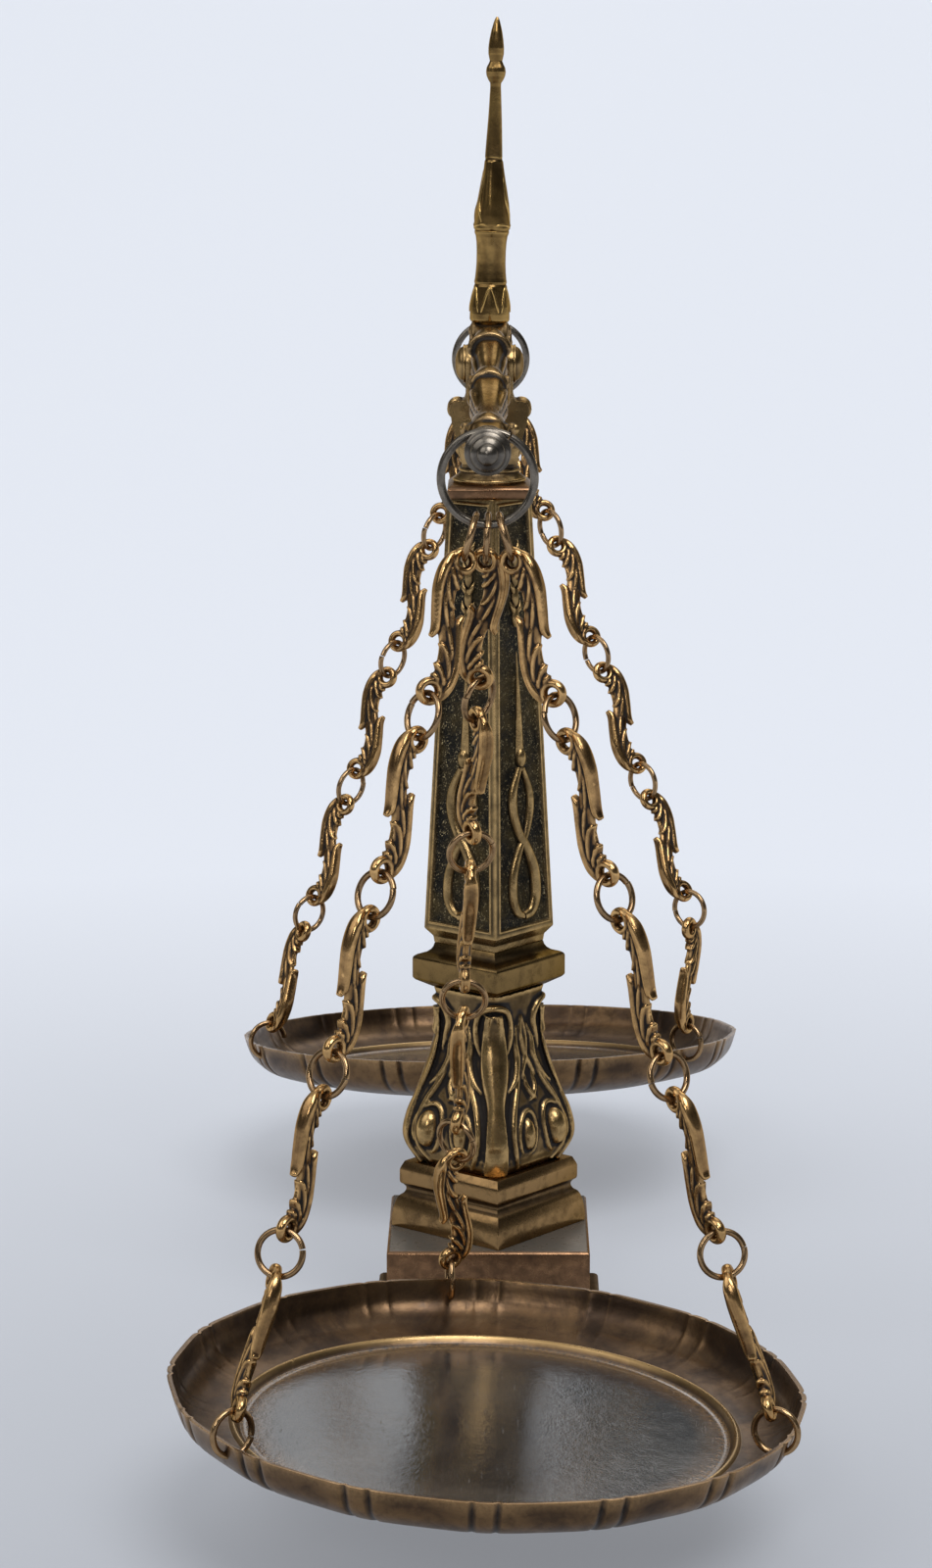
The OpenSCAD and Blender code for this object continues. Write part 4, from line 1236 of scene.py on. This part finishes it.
class BALANCE_OT_pans(bpy.types.Operator):
    """Spun pans with grooves chased in pairs round the wall"""

    bl_idname = "balance.pans"
    bl_label = "Pans"

    def execute(self, context):
        for name in SIDES:
            pan = self.dish(name + "_pan_spun")
            placed(pan, pan_matrix(name))
            finished(pan, name + "_pan_set", [name + "_pan"], pan_metal, 50)
        return {"FINISHED"}

    def dish(self, name):
        """A spun dish, in its own frame, with masks for its material."""
        pairs = sizes().groove_pairs
        step = 360 / pairs
        offsets = [-a for a in reversed(PAIR_HALF)] + list(PAIR_HALF)
        angles = np.radians([k * step + a for k in range(pairs) for a in offsets])
        angles = np.append(angles, angles[0] + 2 * pi)
        inner_rows, outer_rows = self.profile()
        rows = np.vstack([inner_rows, outer_rows])
        count = len(rows) - 1
        around = len(angles) - 1

        def from_pair(a):
            return (np.degrees(a) + step / 2) % step - step / 2

        def groove_at(a):
            return np.exp(-(((np.abs(from_pair(a)) - GROOVE_AT) / GROOVE_HALF) ** 2))

        def wall_at(r):
            return np.clip((r - WALL_FROM) / WALL_FADE, 0, 1)

        def place(u, v):
            a = angles[np.rint(u * around).astype(int)]
            k = np.rint(v * count).astype(int)
            r, z = rows[k, 0], rows[k, 1]
            wall = wall_at(r)
            depth = np.where(k >= len(inner_rows), GROOVE_OUT, GROOVE_IN)
            swell = WALL_SWELL * np.cos(radians(180 / step) * 2 * from_pair(a)) * wall
            r = r - wall * groove_at(a) * depth - WALL_SWELL * wall + swell
            return np.stack([r * np.cos(a), r * np.sin(a), z], -1)

        pan = rolled(name, around, count, place)
        co = points_of(pan)
        radius = np.hypot(co[:, 0], co[:, 1])
        turn = np.arctan2(co[:, 1], co[:, 0])
        upper = np.interp(radius, inner_rows[:, 0], inner_rows[:, 1])
        inner = (co[:, 2] > upper - 0.5) & (radius < PAN_R - 0.9)
        painted(pan, "pan_radius", radius / PAN_R)
        painted(pan, "pan_inner", inner)
        painted(pan, "pan_groove", groove_at(turn) * ~inner * wall_at(radius))
        return pan

    def profile(self):
        """Rows of (radius, height) over the inside from the middle to the rim, and back underneath."""
        wall = np.array(PAN_WALL)
        turn = np.linspace(0, pi / 2, len(wall))
        radii = PAN_R - wall[:, 0] - PAN_T * np.cos(turn)
        inside = np.stack([radii, PAN_T * np.sin(turn) - wall[:, 1]], -1)[::-1]
        floor_z = PAN_T - PAN_DEPTH
        floor = [(r, floor_z) for r in (0.01, *range(8, 73, 8))]
        floor += [(74.5, floor_z - 0.1), (76.2, floor_z - 0.2)]
        bead = [(r, floor_z + rise) for r, rise in PAN_BEAD]
        inner = np.vstack([floor, bead, spline(inside[1:], 22)])
        outside = np.stack([PAN_R - wall[:, 0], -wall[:, 1]], -1)
        under = [(r, -PAN_DEPTH) for r in (PAN_FLOOR_R, 70, 56, 40, 24, 10, 0.01)]
        lip = [(98.7, 0.0), (99.2, 0.12), (99.7, 0.05)]
        return inner, np.vstack([lip, spline(outside, 24), under])


# Chains

# Radius of each ring or eye to the middle of its wire, and half the wire's thickness
RING_R, RING_WIRE = 7, 1
EYE_R, EYE_BAR = 3.1, 1.3
STIRRUP_R, STIRRUP_WIRE = 14.05, 1.3
# Air between two rings that hang in each other
HANG_GAP = 0.25
STIRRUP_Z = middle("near_stirrup").z
# Angle between the middle chain and the others on the stirrup
STIRRUP_SPREAD = radians(17)
# From a ring's centre up to the stirrup's wire, and on to the centre of a link's eye
HOOK_DROP = RING_R - RING_WIRE - STIRRUP_WIRE - HANG_GAP
EYE_DROP = RING_R - RING_WIRE - EYE_BAR - HANG_GAP + EYE_R
# Centre of a rim hole, below the rim and in from it
HOLE_DROP, HOLE_INSET = 4.6, 2.2
# Extra length of the far right chain, which hangs slack
FAR_SLACK = 5
# Direction of each chain's hole in the rim, from +X
HOLES = {"near": (187.6, -52.4, 67.6), "far": (172, -68, 52)}
# Turn about the chain of each ring and link in it, from the stirrup down
TURNS = {
    "near": [
        [180, 166, 142, 120, 104, 96, 88, 76, 54, 30, 7.6],
        [0, 24, 40, 45, 48, 50, 52, 58, 76, 102, 127.6],
        [180, 156, 140, 135, 132, 130, 128, 122, 104, 82, 67.6],
    ],
    "far": [
        [0, 12, 28, 35, 40, 40, 40, 35, 30, 10, -8],
        [0, -15, -34, -26, -38, -28, -40, -40, -48, -60, -68],
        [180, 195, 214, 206, 218, 208, 220, 222, 232, 240, 232],
    ],
}


def unit(v):
    return v / np.linalg.norm(v)


def rim_hole(name, i):
    """Centre of the hole in the rim that chain i hangs from."""
    a = radians(HOLES[name][i])
    r = PAN_R - HOLE_INSET
    return np.array(pan_matrix(name) @ Vector((r * cos(a), r * sin(a), -HOLE_DROP)))


def hook(name, i):
    """Point of the stirrup that chain i hangs from."""
    a = (0, -STIRRUP_SPREAD, STIRRUP_SPREAD)[i]
    return np.array((SIDES[name] * ARM, STIRRUP_R * sin(a), STIRRUP_Z - STIRRUP_R * cos(a)))


def ring_centres(name, i):
    """Centres of the six jump rings of a chain, from the stirrup to the rim."""
    a, b = hook(name, i), rim_hole(name, i)
    spare = FAR_SLACK if (name, i) == ("far", 2) else 0
    span = np.linalg.norm(b - a)
    pitch = (span - HOOK_DROP - RING_R + spare) / 5
    knee = b
    if spare:
        reach, rest = HOOK_DROP + 4 * pitch, pitch + RING_R
        along = (span**2 + reach**2 - rest**2) / (2 * span)
        turn = radians(TURNS[name][i][8])
        way = -np.array((cos(turn), sin(turn), 0))
        line = unit(b - a)
        knee = a + along * line + sqrt(reach**2 - along**2) * unit(way - (way @ line) * line)
    first = a + HOOK_DROP * unit(knee - a)
    last = b - RING_R * unit(b - (knee if spare else a))
    fourth = knee if spare else first + 0.8 * (last - first)
    return [first + k / 4 * (fourth - first) for k in range(5)] + [last]


def hung(up, turn, centre):
    """Stand a piece's Z axis along up, with its Y axis at turn degrees about it."""
    lean = acos(up[2] / np.linalg.norm(up))
    way = atan2(up[1], up[0])
    stand = Matrix.Rotation(way, 4, "Z") @ Matrix.Rotation(lean, 4, "Y")
    return Matrix.Translation(centre) @ stand @ Matrix.Rotation(radians(turn) - way - pi / 2, 4, "Z")


def wire_ring(name, gap_at, gap=5.0, step=0.12, radius=RING_R, wire=RING_WIRE):
    """A ring bent from wire: its ends nearly meet at gap_at degrees, a little out of line."""
    count = 60
    angles = np.radians(gap_at + gap / 2 + np.linspace(0, 360 - gap, count))
    lift = np.linspace(-step, step, count)
    points = [(x, radius * cos(a), radius * sin(a)) for a, x in zip(angles, lift)]
    return swept(name, points, [(wire, wire)] * count, (1, 0, 0), 12, 72)


class BALANCE_OT_rings(bpy.types.Operator):
    """Stirrup rings, hanger rings and jump rings"""

    bl_idname = "balance.rings"
    bl_label = "Stirrups and rings"

    def execute(self, context):
        dice = random.Random(11)
        for name, side in SIDES.items():
            stirrup = wire_ring(name + "_stirrup_wire", 62, 2.5, 0.1, STIRRUP_R, STIRRUP_WIRE)
            placed(stirrup, Matrix.Translation((side * ARM, 0, STIRRUP_Z)))
            finished(stirrup, name + "_stirrup_ring", [name + "_stirrup"], GREY, 50)
            hangers = []
            for i, chain in enumerate(CHAINS):
                centres = ring_centres(name, i)
                turns = TURNS[name][i]
                hanger = wire_ring("hanger", dice.choice((50, 130)), 2.5)
                hangers.append(placed(hanger, hung(hook(name, i) - centres[0], turns[0], centres[0])))
                rings = []
                for k in range(1, 6):
                    up = centres[5] - rim_hole(name, i) if k == 5 else centres[k - 1] - centres[k + 1]
                    broken = (name, chain, k) == ("far", "left", 5)
                    gap_at = dice.choice((0, 24, 180, 156))
                    ring = wire_ring("jump", gap_at, 46 if broken else dice.uniform(1.2, 3.2))
                    rings.append(placed(ring, hung(up, turns[2 * k], centres[k])))
                node = f"{name}_{chain}_rings"
                finished(joined(node + "_wire", rings), name + "_pan_set", [node], RING, 50)
            node = name + "_hanger_rings"
            finished(joined(node + "_wire", hangers), name + "_hooks", [node], RING, 50)
        return {"FINISHED"}


# Between the eyes' centres, and the height over a link's middle where the stretch ends
LINK_SPAN, LINK_STRETCH_TO = 40, 14
# Strands of half a link: name, path through (x, z), half widths and depths, and squareness
LEAF = (
    ("band", [(2.7, 22.4), (4.3, 20.6), (5.3, 18.0), (5.9, 14.6), (5.9, 10.4), (5.2, 6.6), (4.4, 3.0),
              (3.7, 0.0), (3.5, -2.2), (4.3, -4.2)],
     [(0.6, 0.7), (1.2, 1.4), (1.6, 2.2), (1.7, 2.4), (1.6, 2.4), (1.5, 2.3), (1.4, 2.2), (1.3, 2.1),
      (1.2, 1.9), (0.7, 1.2)], 2.4),
    ("flute", [(3.4, 18.2), (3.4, 17.0), (2.8, 15.4), (1.9, 14.0), (0.7, 12.3), (-0.6, 11.3)],
     [(0.4, 1.0), (0.9, 1.8), (1.15, 2.2), (1.15, 2.1), (1.0, 2.0), (0.5, 1.4)], 2.0),
    ("flute", [(4.0, 17.0), (4.0, 13.8), (3.3, 10.8), (2.1, 8.2), (0.7, 6.3), (-0.8, 5.4)],
     [(0.4, 1.5), (1.0, 2.1), (1.15, 2.2), (1.15, 2.1), (1.0, 2.0), (0.5, 1.4)], 2.0),
    ("flute", [(3.9, 11.2), (3.5, 8.2), (2.7, 5.6), (1.7, 3.2), (0.7, 1.2), (-0.2, -0.6)],
     [(0.4, 1.5), (0.95, 2.0), (1.05, 2.1), (1.05, 2.0), (0.9, 1.8), (0.4, 1.3)], 2.0),
    ("lobe", [(1.6, 16.8), (0.6, 15.4), (-0.6, 14.6)], [(0.6, 1.6), (1.1, 1.9), (0.6, 1.4)], 2.0),
    ("web", [(2.4, 17.2), (3.2, 13.5), (3.2, 9.5), (2.2, 4.8), (0.0, 0.0)],
     [(2.4, 1.1), (3.3, 1.2), (3.4, 1.2), (3.2, 1.2), (3.0, 1.2)], 3.0),
)


class BALANCE_OT_links(bpy.types.Operator):
    """Cast acanthus links, five to a chain"""

    bl_idname = "balance.links"
    bl_label = "Chain links"

    def execute(self, context):
        pattern = self.pattern()
        shape = points_of(pattern)
        for name in SIDES:
            for i, chain in enumerate(CHAINS):
                centres = ring_centres(name, i)
                links = []
                for k in range(1, 6):
                    up = centres[k - 1] - centres[k]
                    stretch = np.linalg.norm(up) - 2 * EYE_DROP - LINK_SPAN
                    link = bpy.data.objects.new("link", pattern.data.copy())
                    bpy.context.scene.collection.objects.link(link)
                    co = shape.copy()
                    co[:, 2] += stretch / 2 * np.clip(co[:, 2] / LINK_STRETCH_TO, -1, 1)
                    move_points(link, co)
                    middle_point = (centres[k - 1] + centres[k]) / 2
                    links.append(placed(link, hung(up, TURNS[name][i][2 * k - 1], middle_point)))
                node = f"{name}_{chain}_links"
                finished(joined(node + "_cast", links), name + "_pan_set", [node], LINK, 60)
        bpy.data.objects.remove(pattern)
        return {"FINISHED"}

    def pattern(self):
        """One link, standing in the XZ plane: two leaves that curl opposite ways, and an eye at each end."""
        half = LINK_SPAN / 2
        parts = []
        for flip in (0, pi):
            turn = Matrix.Rotation(flip, 4, "Y")
            eye = placed(hoop("eye", EYE_R, EYE_BAR, 0, 32), Matrix.Scale(1.25, 4, (0, 0, 1)))
            placed(eye, Matrix.Translation((0, 0, half)) @ Matrix.Rotation(pi / 2, 4, "X"))
            leaf = [
                swept(strand, [(x, 0, z) for x, z in path], halves, (0, 1, 0), 16, 48, square)
                for strand, path, halves, square in LEAF
            ]
            parts += [placed(p, turn) for p in [eye] + leaf]
        link = fused("link_pattern", parts, sizes().link_voxel / MM)
        return weathered(link, 16, 0.16)


# Inner parts and stage


class BALANCE_OT_inner_parts(bpy.types.Operator):
    """Finish of the parts that keep their construction shape"""

    bl_idname = "balance.inner_parts"
    bl_label = "Inner parts"

    def execute(self, context):
        finishes = {
            "felt_pad": felt, "tie_rod": steel, "tie_washer": steel, "tie_nut": steel, "pivot_pin": steel,
            "pointer_stud": steel, "pivot_bush": ANTIQUE,
        }
        for node, material in finishes.items():
            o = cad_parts[node]
            o.data.materials.clear()
            o.data.materials.append(material())
        return {"FINISHED"}


# Camera, fitted to the photo's pan rims and foot
CAMERA_AT = (1.462, 0.0036, 0.4805)
CAMERA_PITCH, CAMERA_YAW = radians(10.81), radians(0.46)
LENS, SENSOR = 96.75, 36
# Lamps: strength, and softness, height and direction in degrees
LAMPS = {
    "key_lamp": (1.5, 34, 58, 26), "fill_lamp": (0.55, 45, 42, -64), "back_lamp": (0.45, 40, 45, 170),
    "front_lamp": (0.35, 12, 30, -14),
}
BACKDROP = (0.785, 0.815, 0.89, 1)
ROOM = (0.93, 0.96, 1, 1)


class BALANCE_OT_stage(bpy.types.Operator):
    """Pale floor, soft lamps and the camera"""

    bl_idname = "balance.stage"
    bl_label = "Stage"

    def execute(self, context):
        only()
        bpy.ops.mesh.primitive_circle_add(vertices=96, radius=400, fill_type="NGON")
        floor = named("studio_floor")
        m = new_material("floor_paint")
        t = m.node_tree
        place = object_place(t)
        # Painted shade: the floor's colour darkens to 0.6 of itself within 0.2 m of a point 0.5 m in front of the
        # scale, towards the camera, and is full from 1.3 m away
        nearer = put(t, "ShaderNodeVectorMath", {0: place, 1: (0.5, 0, 0)}, operation="DISTANCE")
        floor_in_painted_shade = tuple(0.6 * c for c in colours().floor[:3]) + (1,)
        tone = blend(t, remap(t, nearer.outputs["Value"], 0.2, 1.3), floor_in_painted_shade, colours().floor)
        lit, output = shade(t, tone, 0.6, 0.0, noise(t, place, 300, 2), 0.00005, Specular_IOR_Level=0.15)
        # For camera and glossy rays, 45 % of the floor glows as an emission of this tone, painted shade included,
        # which softens the shadows
        ray = put(t, "ShaderNodeLightPath").outputs
        seen = maths(t, "MAXIMUM", ray["Is Camera Ray"], ray["Is Glossy Ray"])
        share = maths(t, "MULTIPLY", seen, 0.45)
        plain = put(t, "ShaderNodeEmission", {"Color": tone}).outputs[0]
        mixed = put(t, "ShaderNodeMixShader", {0: share, 1: lit, 2: plain}).outputs[0]
        t.links.new(mixed, output.inputs["Surface"])
        floor.data.materials.append(m)
        self.lamps()
        self.sky(context)
        camera = bpy.data.objects.new("camera", bpy.data.cameras.new("camera"))
        context.scene.collection.objects.link(camera)
        camera.data.lens, camera.data.sensor_width = LENS, SENSOR
        camera.data.clip_start, camera.data.clip_end = 0.01, 200
        camera.location = CAMERA_AT
        aim = Vector((
            -cos(CAMERA_PITCH) * cos(CAMERA_YAW), -cos(CAMERA_PITCH) * sin(CAMERA_YAW), -sin(CAMERA_PITCH),
        ))
        camera.rotation_euler = aim.to_track_quat("-Z", "Y").to_euler()
        context.scene.camera = camera
        context.scene.view_settings.view_transform = "Standard"
        return {"FINISHED"}

    def lamps(self):
        """Broad suns, so that the light is even over the whole floor."""
        for name, (strength, angle, height, turn) in LAMPS.items():
            lamp = bpy.data.lights.new(name, "SUN")
            lamp.energy, lamp.angle = strength, radians(angle)
            o = bpy.data.objects.new(name, lamp)
            bpy.context.scene.collection.objects.link(o)
            h, a = radians(height), radians(turn)
            towards = Vector((cos(h) * cos(a), cos(h) * sin(a), sin(h)))
            o.rotation_euler = towards.to_track_quat("Z", "Y").to_euler()

    def sky(self, context):
        """Pale to the camera. Other rays see a bright sweep behind the scale, a tall panel, and a dim room."""
        world = context.scene.world or bpy.data.worlds.new("world")
        context.scene.world = world
        world.use_nodes = True
        t = world.node_tree
        t.nodes.clear()
        way = put(t, "ShaderNodeSeparateXYZ", {0: put(t, "ShaderNodeTexCoord").outputs["Generated"]}).outputs
        # The camera looks towards -X, so the sweep is on that side and ends a little over the horizon
        behind = remap(t, way["X"], -0.1, -0.7, 0.08, 0.85)
        sweep = maths(t, "MULTIPLY", behind, remap(t, way["Z"], 0.2, 0.28, 1.0, 0.15))
        # The panel is a strip straight behind the scale
        ahead = maths(t, "MAXIMUM", maths(t, "ABSOLUTE", way["X"]), 0.01)
        aside = maths(t, "ABSOLUTE", maths(t, "DIVIDE", way["Y"], ahead))
        panel = maths(t, "MULTIPLY", remap(t, aside, 0.052, 0.042), remap(t, way["X"], -0.3, -0.5))
        panel = maths(t, "MULTIPLY", panel, remap(t, way["Z"], 0.6, 0.5, 0, 0.9))
        above = remap(t, way["Z"], 0.55, 0.9, 0.0, 0.6)
        level = maths(t, "ADD", maths(t, "MAXIMUM", sweep, panel), above)
        seen = put(t, "ShaderNodeLightPath").outputs["Is Camera Ray"]
        room = put(t, "ShaderNodeBackground", {"Color": ROOM, "Strength": level}).outputs[0]
        backdrop = put(t, "ShaderNodeBackground", {"Color": BACKDROP, "Strength": 1.0}).outputs[0]
        mixed = put(t, "ShaderNodeMixShader", {0: seen, 1: room, 2: backdrop}).outputs[0]
        put(t, "ShaderNodeOutputWorld", {"Surface": mixed})


class BALANCE_PT_panel(bpy.types.Panel):
    """The steps that build the scale"""

    bl_label = "Balance scale"
    bl_idname = "BALANCE_PT_panel"
    bl_space_type = "VIEW_3D"
    bl_region_type = "UI"
    bl_category = "Balance"

    def draw(self, context):
        for group in (context.scene.balance_sizes, context.scene.balance_colours):
            for key in group.bl_rna.properties.keys():
                if key not in ("rna_type", "name"):
                    self.layout.prop(group, key)
        for step in STEPS:
            self.layout.operator(step.bl_idname)


STEPS = (
    BALANCE_OT_stage, BALANCE_OT_foot, BALANCE_OT_baluster, BALANCE_OT_shaft, BALANCE_OT_fork, BALANCE_OT_beam,
    BALANCE_OT_knobs, BALANCE_OT_pointer, BALANCE_OT_pans, BALANCE_OT_rings, BALANCE_OT_links,
    BALANCE_OT_inner_parts,
)
CLASSES = (BalanceSizes, BalanceColours) + STEPS + (BALANCE_PT_panel,)


def register():
    for c in CLASSES:
        bpy.utils.register_class(c)
    bpy.types.Scene.balance_sizes = bpy.props.PointerProperty(type=BalanceSizes)
    bpy.types.Scene.balance_colours = bpy.props.PointerProperty(type=BalanceColours)


def unregister():
    del bpy.types.Scene.balance_sizes
    del bpy.types.Scene.balance_colours
    for c in reversed(CLASSES):
        bpy.utils.unregister_class(c)


def main():
    register()
    for step in STEPS:
        group, operator = step.bl_idname.split(".")
        getattr(getattr(bpy.ops, group), operator)()
    only()


if __name__ == "__main__":
    main()
